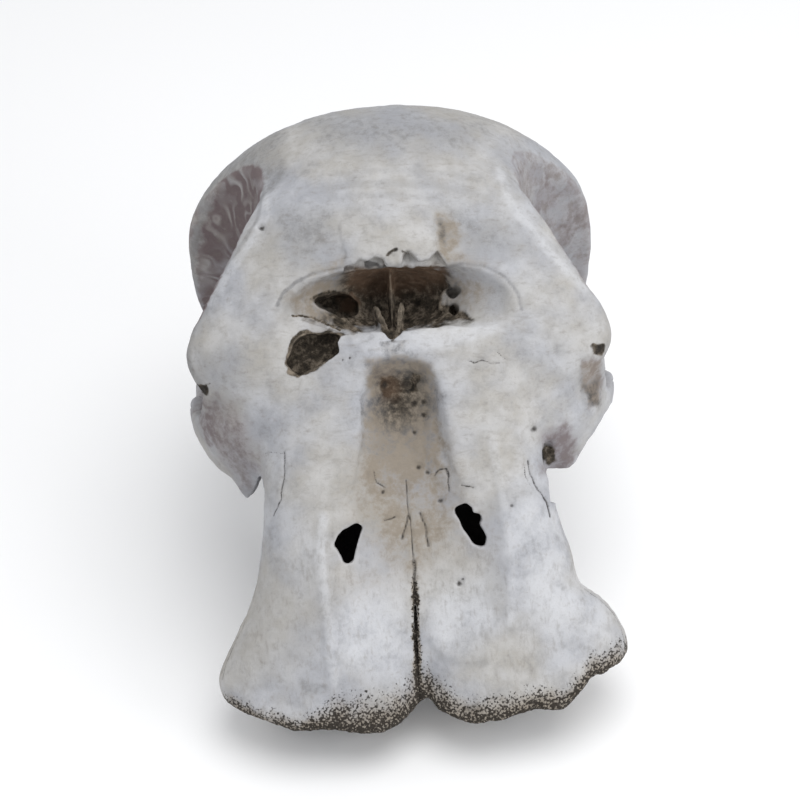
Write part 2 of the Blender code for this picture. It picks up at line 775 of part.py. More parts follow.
def whole_skull():
    """All the parts, sawn from the one form."""
    body = skull_form()
    teeth = each_side(molar)
    for side in SIDES.values():
        for cutter in [molar_body("pocket", side, GAP)] + molar_plates(side, 2 * GAP):
            combined(body, cutter, "DIFFERENCE")
    above = (-FAR, -FAR, FLOOR), (FAR, FAR, FAR)
    combined(body, box("above", *above), "INTERSECT")
    for tooth in teeth:
        combined(tooth, box("above", *above), "INTERSECT")
    face_frame = {"origin": FACE_FOOT, "axes": (ACROSS, AXIS_UP, FACE_OUT)}
    parts = list(teeth)
    for name, side in SIDES.items():
        zone = one_side(side, ((GAP / 2, -FAR, -SOCKET_DEPTH), (FAR, SOCKET_SAW, FAR)))
        parts.append(sawn_off(body, f"tusk_socket_{name}", *zone, **face_frame))
    parts.append(sawn_off(body, "face", (-FAR, -FAR, -FACE_DEPTH), (FAR, FAR, FAR), **face_frame))
    for name, side in SIDES.items():
        parts.append(sawn_off(body, f"cheek_arch_{name}", *one_side(side, ARCH_ZONE)))
    parts.append(sawn_off(body, "neck_joint", *NECK_ZONE))
    parts.append(sawn_off(body, "upper_jaw", *JAW_ZONE))
    body.name = "braincase"
    return parts + [largest_only(body)]


def seated(parts):
    """Moves the parts so that the origin is on the floor under the middle of their bounding box."""
    corners = [v.co for piece in parts for v in piece.data.vertices]
    middle = [(min(c[axis] for c in corners) + max(c[axis] for c in corners)) / 2 for axis in range(2)]
    for piece in parts:
        piece.data.transform(Matrix.Translation((-middle[0], -middle[1], -FLOOR)))
    return parts


def dressed(piece):
    """Gives a part its own material, and shades it smooth but for its broken and sawn edges."""
    look = TOOTH_LOOK if piece.name.startswith("molar") else BONE_LOOK
    piece.data.materials.clear()
    piece.data.materials.append(material(piece.name, *look))
    piece.data.shade_smooth()
    piece.data.set_sharp_from_angle(angle=SHARP_EDGE)


clear_scene()
for piece in seated(whole_skull()):
    dressed(piece)
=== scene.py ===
"""The skull of an adult African elephant bull, without tusks and lower jaw, lying on a pale floor.

The bone is built as one form: closed masses are fused, softened, hollowed and broken at the scale of the
hand, then weathered at the scale of a fingertip, and at last parted into the frame's named bones. Places on
the face are given as x across, s up its slope and h out of it, in metres from the foot of the tusk sockets.
The face's traced outlines and lines are given in whole millimetres.
"""

import math

import bmesh
import bpy
import numpy as np
from mathutils import Matrix, Vector
from mathutils.kdtree import KDTree


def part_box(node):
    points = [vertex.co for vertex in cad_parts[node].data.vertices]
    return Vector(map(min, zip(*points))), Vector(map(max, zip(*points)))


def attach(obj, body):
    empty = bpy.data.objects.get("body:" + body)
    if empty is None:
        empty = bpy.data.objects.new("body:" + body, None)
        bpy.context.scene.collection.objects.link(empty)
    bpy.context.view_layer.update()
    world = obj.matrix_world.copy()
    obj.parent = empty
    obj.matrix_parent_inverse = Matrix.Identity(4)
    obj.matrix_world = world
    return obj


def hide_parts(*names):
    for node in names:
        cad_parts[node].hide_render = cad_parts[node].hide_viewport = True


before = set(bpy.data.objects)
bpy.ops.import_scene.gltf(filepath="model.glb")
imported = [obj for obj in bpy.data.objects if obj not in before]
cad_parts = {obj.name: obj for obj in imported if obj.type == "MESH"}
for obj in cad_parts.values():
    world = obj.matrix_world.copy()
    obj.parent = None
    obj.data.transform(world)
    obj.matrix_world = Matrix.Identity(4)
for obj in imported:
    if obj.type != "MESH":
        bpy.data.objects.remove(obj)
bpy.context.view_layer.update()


# The room: a plain pale floor under broad soft daylight from above the brow.
# The camera looks straight at the sloping face, and leans a little to the right, as the photo's did.
ACROSS = Vector((1.0, 0.0, 0.0))
BACK = Vector((0.0, 1.0, 0.0))
UP = Vector((0.0, 0.0, 1.0))
FACE_SLOPE = math.radians(50)
AXIS_UP = Vector((0.0, math.cos(FACE_SLOPE), math.sin(FACE_SLOPE)))
FACE_OUT = Vector((0.0, -math.sin(FACE_SLOPE), math.cos(FACE_SLOPE)))
CAMERA_AIM = Vector((0.0, -0.0066, 0.3955))
CAMERA_DISTANCE = 3.6
CAMERA_LEAN = math.radians(3.6)
CAMERA_LENS = 85.6
CAMERA_SHIFT = (-0.00375, 0.02)
FLOOR_HALF = 12.0
FLOOR_COLOUR = (0.95, 0.95, 0.95, 1.0)
SKY_COLOUR = (0.97, 0.98, 1.0, 1.0)
SKY_LIGHT = 0.74
LIGHTS_AIM = (0.0, 0.0, 0.4)


def lit(name, energy, size, place):
    lamp = bpy.data.lights.new(name, "AREA")
    lamp.energy = energy
    lamp.shape = "DISK"
    lamp.size = size
    held = bpy.data.objects.new(name, lamp)
    held.location = place
    held.rotation_mode = "QUATERNION"
    held.rotation_quaternion = (Vector(LIGHTS_AIM) - Vector(place)).to_track_quat("-Z", "Y")
    bpy.context.scene.collection.objects.link(held)


def build_room():
    scene = bpy.context.scene
    held = bpy.data.objects.new("camera", bpy.data.cameras.new("camera"))
    held.location = CAMERA_AIM + FACE_OUT * CAMERA_DISTANCE
    held.rotation_mode = "QUATERNION"
    lean = Matrix.Rotation(-CAMERA_LEAN, 3, "Z").to_quaternion()
    held.rotation_quaternion = (-FACE_OUT).to_track_quat("-Z", "Y") @ lean
    held.data.lens = CAMERA_LENS
    held.data.shift_x, held.data.shift_y = CAMERA_SHIFT
    scene.collection.objects.link(held)
    scene.camera = held
    scene.view_settings.view_transform = "Standard"
    world = bpy.data.worlds.new("daylight")
    world.use_nodes = True
    sky = world.node_tree.nodes["Background"]
    sky.inputs["Color"].default_value = SKY_COLOUR
    sky.inputs["Strength"].default_value = SKY_LIGHT
    scene.world = world
    lit("sky_panel", energy=160, size=5.0, place=(1.0, -0.6, 6.0))
    lit("window", energy=30, size=1.8, place=(2.6, -2.0, 1.8))
    form = bmesh.new()
    bmesh.ops.create_grid(form, x_segments=1, y_segments=1, size=FLOOR_HALF)
    mesh = bpy.data.meshes.new("floor")
    form.to_mesh(mesh)
    form.free()
    floor = bpy.data.objects.new("floor", mesh)
    scene.collection.objects.link(floor)
    paint = bpy.data.materials.new("pale_floor")
    paint.use_nodes = True
    shader = paint.node_tree.nodes["Principled BSDF"]
    shader.inputs["Base Color"].default_value = FLOOR_COLOUR
    shader.inputs["Roughness"].default_value = 0.9
    shader.inputs["Specular IOR Level"].default_value = 0.1
    mesh.materials.append(paint)


build_room()


# The braincase: a broad low dome of thin bone over air cells, flat behind, where the neck's muscles held on.
# Its sides are hollowed into deep temples for the jaw muscles, and its floor carries the two neck knobs.
FACE_FOOT = Vector((0.0, -0.60, 0.108))
SIDES = {"left": 1, "right": -1}
SKULL_TOP = 0.900
HALF_WIDTH_VAULT = 0.392
VAULT_LEAN = -0.004
RING_POINTS = 48
BALL_LEVELS = 14
ROUND_POWER = 2.2


def on_face(x, s, h):
    """The point x across, s up the slope of the face from its foot, and h out of it."""
    return FACE_FOOT + ACROSS * x + AXIS_UP * s + FACE_OUT * h


def linked(name, mesh):
    body = bpy.data.objects.new(name, mesh)
    bpy.context.scene.collection.objects.link(body)
    return body


def closed_mesh(name, rings):
    """A closed body that bridges rings of equal length and fills both ends, turned to face outwards."""
    count = len(rings[0])
    points = [tuple(p) for ring in rings for p in ring]
    faces = []
    for k in range(len(rings) - 1):
        for j in range(count):
            a = k * count + j
            b = k * count + (j + 1) % count
            faces.append((a, b, b + count, a + count))
    faces.append(tuple(reversed(range(count))))
    faces.append(tuple((len(rings) - 1) * count + j for j in range(count)))
    mesh = bpy.data.meshes.new(name)
    mesh.from_pydata(points, [], faces)
    mesh.calc_loop_triangles()
    volume = 0.0
    for tri in mesh.loop_triangles:
        a, b, c = (mesh.vertices[i].co for i in tri.vertices)
        volume += a.dot(b.cross(c))
    if volume < 0:
        mesh.flip_normals()
    return linked(name, mesh)


def eased(values, t):
    """A Catmull-Rom value at t, counted in stations."""
    k = min(int(t), len(values) - 2)
    u = t - k
    a = values[max(k - 1, 0)]
    b = values[k]
    c = values[k + 1]
    d = values[min(k + 2, len(values) - 1)]
    bend = (2 * a - 5 * b + 4 * c - d) * u**2 + (3 * b - a - 3 * c + d) * u**3
    return 0.5 * (2 * b + (c - a) * u + bend)


def egg_ring(centre, wide, ahead, behind, power, points):
    """A superellipse with its own reach ahead of and behind its widest line."""
    ring = []
    for j in range(points):
        angle = 2 * math.pi * j / points
        c, s = math.cos(angle), math.sin(angle)
        x = math.copysign(abs(c) ** (2 / power), c)
        y = abs(s) ** (2 / power)
        ring.append(centre + wide * x + (ahead if s > 0 else behind) * y)
    return ring


def loft(name, stations, steps=4, points=RING_POINTS):
    """A body through stations of (centre, wide, ahead, behind, power), with eased rings between them."""
    columns = list(zip(*stations))
    rings = []
    for k in range((len(stations) - 1) * steps + 1):
        rings.append(egg_ring(*(eased(column, k / steps) for column in columns), points))
    return closed_mesh(name, rings)


def level_loft(name, rows, x=0.0):
    """A loft of level rings. A row is height, front Y, widest Y, back Y, half-width and power."""
    stations = []
    for z, front, widest, back, half, power in rows:
        middle = Vector((x, widest, z))
        stations.append((middle, ACROSS * half, BACK * (front - widest), BACK * (back - widest), power))
    return loft(name, stations)


def slope_loft(name, rows, swing=0.0):
    """A loft up the face. A row is s, left x, right x, front h, widest h, back h and power.

    The rings' +X ends are swung up the slope by the given angle.
    """
    across = ACROSS * math.cos(swing) + AXIS_UP * math.sin(swing)
    stations = []
    for s, low, high, front, widest, back, power in rows:
        middle = on_face((low + high) / 2, s, widest)
        half = (high - low) / 2
        reaches = FACE_OUT * (front - widest), FACE_OUT * (back - widest)
        stations.append((middle, across * half, *reaches, power))
    return loft(name, stations)


def even_rows(rows, power):
    """Rows for slope_loft of a form that is alike on both sides, given by its half-width."""
    return [(s, -half, half, front, widest, back, power) for s, half, front, widest, back in rows]


def bar(name, rows):
    """An upright bar along points. A row is a point, the half-height and the half-thickness."""
    stations = []
    for k, (point, height, thickness) in enumerate(rows):
        before = rows[max(k - 1, 0)][0]
        after = rows[min(k + 1, len(rows) - 1)][0]
        along = (after - before).normalized()
        thin = along.cross(UP).normalized()
        tall = thin.cross(along).normalized()
        stations.append((point, thin * thickness, tall * height, tall * -height, ROUND_POWER))
    return loft(name, stations)


def ball(name, centre, radii, turn=(0, 0, 0)):
    """An ellipsoid, turned by degrees about X, then Y, then Z."""
    turned = Matrix.Identity(3)
    for axis, degrees in zip("XYZ", turn):
        turned = Matrix.Rotation(math.radians(degrees), 3, axis) @ turned
    rings = []
    for k in range(1, BALL_LEVELS):
        angle = math.pi * k / BALL_LEVELS
        flat, up = math.sin(angle), -math.cos(angle)
        ring = []
        for j in range(RING_POINTS):
            around = 2 * math.pi * j / RING_POINTS
            local = (flat * math.cos(around), flat * math.sin(around), up)
            ring.append(Vector(centre) + turned @ Vector(r * c for r, c in zip(radii, local)))
        rings.append(ring)
    return closed_mesh(name, rings)


def face_prism(name, edge, back, front):
    """A body with an outline on the face, between two depths."""
    return closed_mesh(name, [[on_face(x, s, h) for x, s in edge] for h in (back, front)])


def each_side(make):
    return [make(name, side) for name, side in SIDES.items()]


def vault():
    top = SKULL_TOP
    wide = HALF_WIDTH_VAULT
    return level_loft(
        "vault",
        [
            # z, front, widest, back, half-width, power
            (0.34, 0.14, 0.26, 0.395, wide * 0.74, 2.4),
            (0.41, 0.02, 0.25, 0.430, wide * 0.90, 2.5),
            (0.49, -0.06, 0.25, 0.452, wide * 0.985, 2.5),
            (0.58, -0.07, 0.25, 0.463, wide * 1.01, 2.4),
            (0.67, -0.06, 0.25, 0.455, wide * 0.985, 2.3),
            (0.74, -0.03, 0.25, 0.432, wide * 0.880, 2.25),
            (0.80, 0.00, 0.245, 0.400, wide * 0.730, 2.15),
            (0.845, 0.04, 0.235, 0.362, wide * 0.580, 2.05),
            (top - 0.027, 0.095, 0.22, 0.320, wide * 0.43, 2.0),
            (top - 0.008, 0.15, 0.21, 0.270, wide * 0.26, 2.0),
            (top, 0.19, 0.21, 0.230, wide * 0.10, 2.0),
        ],
        x=VAULT_LEAN,
    )


def skull_base():
    """The floor of the braincase, from the jaws back to the neck joint."""
    return level_loft(
        "skull_base",
        [
            # z, front, widest, back, half-width, power
            (0.235, 0.13, 0.22, 0.300, 0.100, 2.4),
            (0.275, 0.09, 0.25, 0.380, 0.190, 2.4),
            (0.330, 0.06, 0.27, 0.415, 0.290, 2.4),
            (0.400, 0.04, 0.27, 0.430, 0.330, 2.4),
        ],
    )


def occipital_bulge(name, side):
    """The swelling of the back wall beside the pit of the neck's ligament."""
    centre = (side * 0.165, 0.368, 0.600)
    return ball(f"occipital_{name}", centre, (0.165, 0.100, 0.215), (6, 0, side * -16))


def neck_knob(name, side):
    """An occipital condyle, on a short neck of bone."""
    centre = (side * 0.058, 0.412, 0.330)
    return ball(f"neck_knob_{name}", centre, (0.047, 0.056, 0.070), (-25, side * 14, side * 25))


def ear_swelling(name, side):
    """The bony ear capsule under the braincase."""
    return ball(f"ear_{name}", (side * 0.135, 0.235, 0.262), (0.060, 0.075, 0.045), (10, 0, side * -25))


TEMPLE_ROWS = (
    # x, y, z, half across, half along Y
    (0.330, 0.08, 0.22, 0.060, 0.060),
    (0.345, 0.08, 0.32, 0.100, 0.095),
    (0.385, 0.09, 0.44, 0.140, 0.125),
    (0.425, 0.10, 0.56, 0.185, 0.140),
    (0.430, 0.11, 0.66, 0.185, 0.140),
    (0.400, 0.13, 0.76, 0.155, 0.125),
    (0.345, 0.15, 0.83, 0.105, 0.095),
    (0.300, 0.165, 0.875, 0.060, 0.060),
)


def temporal_hollow(name, side):
    """The deep temple behind the brow."""
    stations = []
    for x, y, z, across, along in TEMPLE_ROWS:
        middle = Vector((side * x, y, z))
        stations.append((middle, ACROSS * across, BACK * -along, BACK * along, ROUND_POWER))
    return loft(f"temple_{name}", stations)


def nuchal_pit():
    """The deep pit at the back that anchored the neck's ligament."""
    return ball("nuchal_pit", (0, 0.490, 0.625), (0.050, 0.075, 0.120), (8, 0, 0))


def spine_hole():
    """The foramen magnum, between and above the condyles."""
    return bar(
        "spine_hole",
        [
            # point, half-height, half-thickness
            (Vector((0, 0.52, 0.385)), 0.036, 0.036),
            (Vector((0, 0.42, 0.375)), 0.034, 0.034),
            (Vector((0, 0.34, 0.365)), 0.026, 0.026),
        ],
    )


# The face: the broad shield of the forehead, whose edges overhang the temples and hook over the eyes, and the
# upper jaw bones below it. The nose opens high up, under a blunt boss of nasal bone with a broken lower edge.
HALF_WIDTH_BROW = 0.393
NARES_HALF_WIDTH = 0.215


def forehead():
    brow = HALF_WIDTH_BROW
    rows = [
        # s, half-width, front h, widest h, back h
        (0.60, brow * 0.80, -0.015, -0.130, -0.210),
        (0.655, brow * 0.93, -0.008, -0.120, -0.190),
        (0.71, brow, -0.004, -0.105, -0.165),
        (0.76, brow * 0.97, -0.004, -0.098, -0.165),
        (0.82, brow * 0.875, -0.008, -0.092, -0.185),
        (0.90, brow * 0.755, -0.012, -0.082, -0.200),
        (0.98, brow * 0.630, -0.020, -0.080, -0.200),
        (1.05, brow * 0.480, -0.052, -0.120, -0.200),
        (1.11, brow * 0.250, -0.110, -0.160, -0.200),
    ]
    return slope_loft("forehead", even_rows(rows, 2.3))


def upper_face():
    """The maxillae between the sockets and the brow."""
    rows = [
        # s, half-width, front h, widest h, back h
        (0.34, 0.215, -0.020, -0.110, -0.200),
        (0.44, 0.245, -0.014, -0.120, -0.230),
        (0.54, 0.275, -0.006, -0.125, -0.260),
        (0.64, 0.305, 0.000, -0.125, -0.280),
        (0.74, 0.315, 0.004, -0.120, -0.280),
    ]
    return slope_loft("upper_face", even_rows(rows, 2.5))


def nares():
    """The nose opening: a wide kidney that droops at its ends and deepens in the middle."""
    half = NARES_HALF_WIDTH
    rows = [
        # x, s, half-height, front h, back h
        (-half, 0.768, 0.012, 0.03, -0.018),
        (-half * 0.86, 0.780, 0.040, 0.03, -0.034),
        (-half * 0.60, 0.796, 0.052, 0.04, -0.058),
        (-half * 0.30, 0.800, 0.056, 0.05, -0.120),
        (0.0, 0.800, 0.060, 0.05, -0.150),
        (half * 0.30, 0.800, 0.056, 0.05, -0.120),
        (half * 0.60, 0.796, 0.054, 0.04, -0.058),
        (half * 0.86, 0.785, 0.044, 0.03, -0.034),
        (half, 0.776, 0.014, 0.03, -0.018),
    ]
    stations = []
    for x, s, tall, front, back in rows:
        stations.append((on_face(x, s, 0), AXIS_UP * tall, FACE_OUT * front, FACE_OUT * back, ROUND_POWER))
    return loft("nares", stations)


def nose_bone():
    return slope_loft(
        "nose_bone",
        [
            # s, left x, right x, front h, widest h, back h, power
            (0.855, -0.050, 0.050, -0.004, -0.030, -0.060, 2.6),
            (0.872, -0.080, 0.080, 0.006, -0.030, -0.070, 2.6),
            (0.910, -0.084, 0.086, 0.004, -0.030, -0.070, 2.6),
            (0.965, -0.074, 0.078, -0.018, -0.040, -0.070, 2.6),
        ],
    )


# The tusk sockets: two long tubes of bone side by side, flaring to thick porous lips.
# A hollow runs down between them from under the nose, and their tusks have been drawn.
SOCKET_THICKNESS = 0.195
SOCKET_SWING = {"left": math.radians(8), "right": math.radians(4)}
SOCKET_OUTER_EDGES = {
    "left": (0.305, 0.358, 0.389, 0.355, 0.303, 0.296, 0.272, 0.253, 0.230),
    "right": (0.305, 0.350, 0.369, 0.327, 0.304, 0.286, 0.269, 0.258, 0.235),
}


def tusk_socket(name, side):
    """One premaxilla. The left one flares wider and higher up."""
    deep = SOCKET_THICKNESS
    rows = [
        # s, inner x, front h, thickness
        (0.015, 0.012, -0.010, deep * 0.86),
        (0.062, 0.004, -0.001, deep * 0.97),
        (0.12, 0.000, 0.000, deep),
        (0.20, -0.004, 0.000, deep * 0.98),
        (0.245, -0.006, 0.000, deep * 0.98),
        (0.29, -0.006, 0.000, deep * 0.98),
        (0.38, -0.006, 0.000, deep),
        (0.50, -0.006, 0.000, deep * 1.05),
        (0.62, -0.006, 0.000, deep * 1.05),
    ]
    placed = []
    for (s, inner, front, thick), outer in zip(rows, SOCKET_OUTER_EDGES[name]):
        ends = sorted((side * inner, side * outer))
        placed.append((s, *ends, front, front - thick * 0.5, front - thick, 2.6))
    return slope_loft(f"socket_{name}", placed, SOCKET_SWING[name] * side)


def in_mm(*points):
    """The points of a line or an outline, given in whole millimetres."""
    return tuple((across / 1000, up / 1000) for across, up in points)


LIP_LINE = in_mm(
    (-400, 115), (-345, 86), (-312, 70), (-274, 57), (-226, 37), (-165, 39), (-105, 26), (-69, 26), (-36, 40),
    (-15, 58), (-5, 71), (5, 74), (17, 85), (26, 62), (50, 46), (89, 32), (146, 36), (176, 44), (208, 52),
    (254, 45), (281, 68), (304, 95), (315, 107), (329, 99), (344, 113), (365, 120), (380, 135), (420, 150),
)


def below_lips():
    """All that lies below the worn edge of the sockets' lips, to cut it away."""
    corners = (0.42, -0.15), (-0.40, -0.15)
    return face_prism("below_lips", LIP_LINE + corners, -0.30, 0.10)


def socket_web():
    """The middle wall, which closes the gap between the two tubes above the cleft."""
    rows = [
        # s, half-width, front h, widest h, back h
        (0.06, 0.030, -0.060, -0.100, -0.135),
        (0.16, 0.040, -0.036, -0.100, -0.160),
        (0.26, 0.050, -0.024, -0.100, -0.175),
        (0.40, 0.060, -0.016, -0.100, -0.190),
        (0.55, 0.060, -0.010, -0.100, -0.190),
    ]
    return slope_loft("socket_web", even_rows(rows, 2.8))


def socket_trough():
    """The hollow between the tusk sockets, deepest under the nose and widening downwards."""
    rows = [
        # s, half-width, depth
        (0.700, 0.050, -0.004),
        (0.655, 0.074, 0.046),
        (0.600, 0.084, 0.054),
        (0.520, 0.098, 0.046),
        (0.430, 0.122, 0.036),
        (0.350, 0.152, 0.030),
        (0.270, 0.166, 0.026),
        (0.160, 0.168, 0.024),
        (0.060, 0.158, 0.022),
        (-0.050, 0.140, 0.022),
    ]
    return slope_loft("trough", [(s, -half, half, 0.10, 0.04, -deep, 2.0) for s, half, deep in rows])


def tusk_hole(name, side):
    """The empty alveolus that held the tusk."""
    rows = [
        # s, centre x, half-width, half-thickness
        (-0.04, 0.185, 0.098, 0.068),
        (0.03, 0.180, 0.090, 0.066),
        (0.10, 0.172, 0.082, 0.063),
        (0.20, 0.155, 0.072, 0.058),
        (0.30, 0.138, 0.062, 0.052),
        (0.38, 0.125, 0.048, 0.042),
        (0.43, 0.118, 0.026, 0.024),
    ]
    placed = []
    for s, x, half, deep in rows:
        middle = side * x
        placed.append((s, middle - half, middle + half, -0.098 + deep, -0.098, -0.098 - deep, 2.0))
    return slope_loft(f"tusk_hole_{name}", placed)


# The cheek arches: each springs from the upper jaw, makes the lower rim of the eye socket, and runs back as a
# tall thin bar past the temple to the hinge bar under the braincase, where the lower jaw hung.
HALF_WIDTH_ARCH = 0.400
CHEEK_SPURS = {"left": 0.058, "right": 0.067}


def side_bar(name, side, rows):
    """A bar on one side of the skull. A row is x, y, z, the half-height and the half-thickness."""
    return bar(name, [(Vector((side * x, y, z)), tall, thin) for x, y, z, tall, thin in rows])


def cheek_process(name, side):
    rows = [
        # x, y, z, half-height, half-thickness
        (0.130, -0.165, 0.440, 0.085, 0.060),
        (0.220, -0.160, 0.440, 0.092, 0.052),
        (0.290, -0.135, 0.438, 0.092, 0.040),
        (0.338, -0.100, 0.437, 0.088, 0.032),
        (0.372, -0.050, 0.425, 0.072, 0.024),
        (0.390, 0.005, 0.400, 0.046, 0.018),
    ]
    return side_bar(f"cheek_{name}", side, rows)


def cheek_spur(name, side):
    """The rough spur under the cheek process. It is long on the right, and worn short on the left."""
    radii = (0.027, 0.028, CHEEK_SPURS[name])
    return ball(f"spur_{name}", (side * 0.298, -0.142, 0.375), radii, (-18, side * 14, 0))


def cheek_arch(name, side):
    wide = HALF_WIDTH_ARCH - 0.016
    rows = [
        # x, y, z, half-height, half-thickness
        (wide - 0.016, -0.045, 0.405, 0.046, 0.020),
        (wide, 0.02, 0.385, 0.040, 0.018),
        (wide + 0.002, 0.09, 0.380, 0.038, 0.017),
        (wide, 0.16, 0.395, 0.042, 0.019),
        (wide - 0.022, 0.225, 0.420, 0.055, 0.030),
        (wide - 0.070, 0.285, 0.430, 0.070, 0.050),
    ]
    return side_bar(f"arch_{name}", side, rows)


def jaw_hinge(name, side):
    rows = [
        # x, y, z, half-height, half-thickness
        (0.120, 0.190, 0.300, 0.040, 0.045),
        (0.210, 0.200, 0.315, 0.045, 0.045),
        (0.290, 0.215, 0.350, 0.045, 0.040),
        (0.345, 0.240, 0.395, 0.040, 0.035),
    ]
    return side_bar(f"hinge_{name}", side, rows)


def eye_hollow(name, side):
    """The eye socket, open to the side and to the temple behind it."""
    centre = (side * 0.378, -0.020, 0.512)
    return ball(f"eye_{name}", centre, (0.115, 0.078, 0.058), (0, side * 8, side * -12))


def cheek_hollow():
    """The hollow under the left cheek process, where a nerve left the bone."""
    return ball("cheek_hollow", on_face(0.262, 0.492, -0.085), (0.018, 0.040, 0.030), (25, 0, 10))


# The upper jaw: a deep block that carries one cheek tooth on each side of a narrow arched palate.
# Behind it two wings reach down beside the passage from the throat to the nose.
def jaw_base():
    return level_loft(
        "jaw_base",
        [
            # z, front, widest, back, half-width, power
            (0.055, -0.150, -0.02, 0.127, 0.142, 3.0),
            (0.095, -0.195, -0.02, 0.138, 0.146, 3.0),
            (0.160, -0.250, -0.04, 0.147, 0.144, 2.8),
            (0.245, -0.300, -0.06, 0.170, 0.158, 2.6),
            (0.340, -0.300, -0.02, 0.220, 0.205, 2.5),
            (0.460, -0.200, 0.04, 0.280, 0.240, 2.4),
        ],
    )


def pterygoid(name, side):
    return level_loft(
        f"pterygoid_{name}",
        [
            # z, front, widest, back, half-width, power
            (0.016, 0.088, 0.124, 0.162, 0.026, 2.4),
            (0.060, 0.070, 0.130, 0.178, 0.034, 2.4),
            (0.140, 0.050, 0.140, 0.205, 0.042, 2.4),
            (0.240, 0.040, 0.150, 0.245, 0.055, 2.4),
            (0.320, 0.040, 0.160, 0.280, 0.070, 2.4),
        ],
        x=side * 0.095,
    )


def throat_opening():
    """The passage up between the wings behind the palate."""
    return level_loft(
        "throat",
        [
            # z, front, widest, back, half-width, power
            (-0.05, 0.06, 0.16, 0.34, 0.055, 2.3),
            (0.06, 0.06, 0.16, 0.34, 0.055, 2.3),
            (0.16, 0.07, 0.15, 0.26, 0.050, 2.3),
            (0.25, 0.09, 0.14, 0.19, 0.038, 2.3),
        ],
    )


def palate():
    rows = [
        # y, half-width, height of the vault
        (-0.34, 0.070, 0.140),
        (-0.26, 0.050, 0.130),
        (-0.18, 0.036, 0.110),
        (-0.05, 0.032, 0.095),
        (0.06, 0.038, 0.095),
        (0.16, 0.050, 0.110),
    ]
    stations = []
    for y, half, top in rows:
        stations.append((Vector((0, y, 0)), ACROSS * half, UP * top, UP * -0.08, 2.0))
    return loft("palate", stations)


# The form as one piece: in life these bones are grown together, so they are fused and softened as one.
# The first passes use the hand's scale, and the last is fine enough for the breaks and openings.
ROUGH_VOXEL = 0.010
BLEND_VOXEL = 0.007
FINE_VOXEL = 0.0031
ROUGH_ROUNDS = 8
BLEND_ROUNDS = 4
LAST_ROUNDS = 5
SKIN_ROUNDS = 3
BREAK_ROUNDS = 2
SMOOTHING = 0.5


def applied(body):
    """Turns the body's modifiers into its mesh."""
    graph = bpy.context.evaluated_depsgraph_get()
    mesh = bpy.data.meshes.new_from_object(body.evaluated_get(graph))
    body.modifiers.clear()
    body.data = mesh
    return body


def gathered(name, bodies):
    """One object that holds the shells of all the bodies, still overlapping."""
    corners, faces = [], []
    for body in bodies:
        start = sum(len(part) for part in corners)
        mesh = body.data
        places = np.empty(len(mesh.vertices) * 3)
        mesh.vertices.foreach_get("co", places)
        corners.append(places.reshape(-1, 3))
        faces += [[start + i for i in face.vertices] for face in mesh.polygons]
        bpy.data.objects.remove(body)
    mesh = bpy.data.meshes.new(name)
    mesh.from_pydata(np.concatenate(corners).tolist(), [], faces)
    return linked(name, mesh)


def softened(body, voxel, rounds):
    """Fuses overlapping shells into one skin and smooths it."""
    remesh = body.modifiers.new("fuse", "REMESH")
    remesh.mode = "VOXEL"
    remesh.voxel_size = voxel
    smooth = body.modifiers.new("soften", "SMOOTH")
    smooth.factor = SMOOTHING
    smooth.iterations = rounds
    return applied(body)


def combined(body, other, operation):
    """The body after a Boolean with the other, which is removed."""
    change = body.modifiers.new(operation.lower(), "BOOLEAN")
    change.operation = operation
    change.object = other
    change.solver = "MANIFOLD"
    applied(body)
    bpy.data.objects.remove(other)
    return body


def fused_form():
    masses = [vault(), upper_face(), jaw_base(), skull_base(), socket_web()]
    masses += each_side(tusk_socket) + each_side(pterygoid) + each_side(ear_swelling) + each_side(jaw_hinge)
    masses += each_side(occipital_bulge)
    body = softened(gathered("form", masses), ROUGH_VOXEL, ROUGH_ROUNDS)
    for cutter in each_side(temporal_hollow):
        combined(body, cutter, "DIFFERENCE")
    masses = [forehead(), nose_bone()]
    masses += each_side(neck_knob) + each_side(cheek_process) + each_side(cheek_spur)
    body = softened(gathered("form", [body] + masses), ROUGH_VOXEL, BLEND_ROUNDS)
    cutters = [nares(), socket_trough(), cheek_hollow(), throat_opening(), palate()]
    cutters += [nuchal_pit(), spine_hole(), below_lips()]
    for cutter in cutters + each_side(eye_hollow) + each_side(tusk_hole):
        combined(body, cutter, "DIFFERENCE")
    return softened(gathered("form", [body] + each_side(cheek_arch)), BLEND_VOXEL, LAST_ROUNDS)


# The breaks and fine bones of the face, made once the form is fine: the ragged holes where the sockets' thin
# front walls fell in, the window beside the nose, the cleft between the two premaxillae, the torn lower rim
# of the nose opening, and the plates and sinuses that show inside it.
RAGGED_HOLES = {
    "right": in_mm(
        (-94, 404), (-85, 396), (-96, 367), (-106, 335), (-121, 332), (-126, 348), (-138, 367), (-130, 384),
        (-119, 394),
    ),
    "left": in_mm(
        (82, 420), (102, 427), (114, 418), (113, 410), (126, 407), (129, 397), (124, 388), (131, 376),
        (136, 364), (132, 351), (122, 347), (110, 354), (104, 366), (95, 379), (89, 397), (83, 409),
    ),
}
WINDOW = in_mm(
    (-159, 747), (-141, 743), (-123, 746), (-102, 740), (-109, 728), (-107, 709), (-127, 697), (-153, 683),
    (-180, 672), (-194, 682), (-203, 696), (-193, 714), (-188, 729), (-175, 741),
)
NOSE_RIM = in_mm(
    (-150, 765), (-120, 752), (-102, 743), (-79, 740), (-60, 747), (-47, 748), (-38, 749), (-23, 736),
    (-11, 723), (4, 735), (16, 750), (42, 746), (74, 750), (99, 754), (131, 752), (160, 760), (160, 790),
    (-150, 790),
)
SINUS = in_mm(
    (-151, 807), (-132, 815), (-103, 820), (-84, 817), (-69, 802), (-69, 786), (-81, 774), (-103, 775),
    (-121, 786), (-140, 794),
)
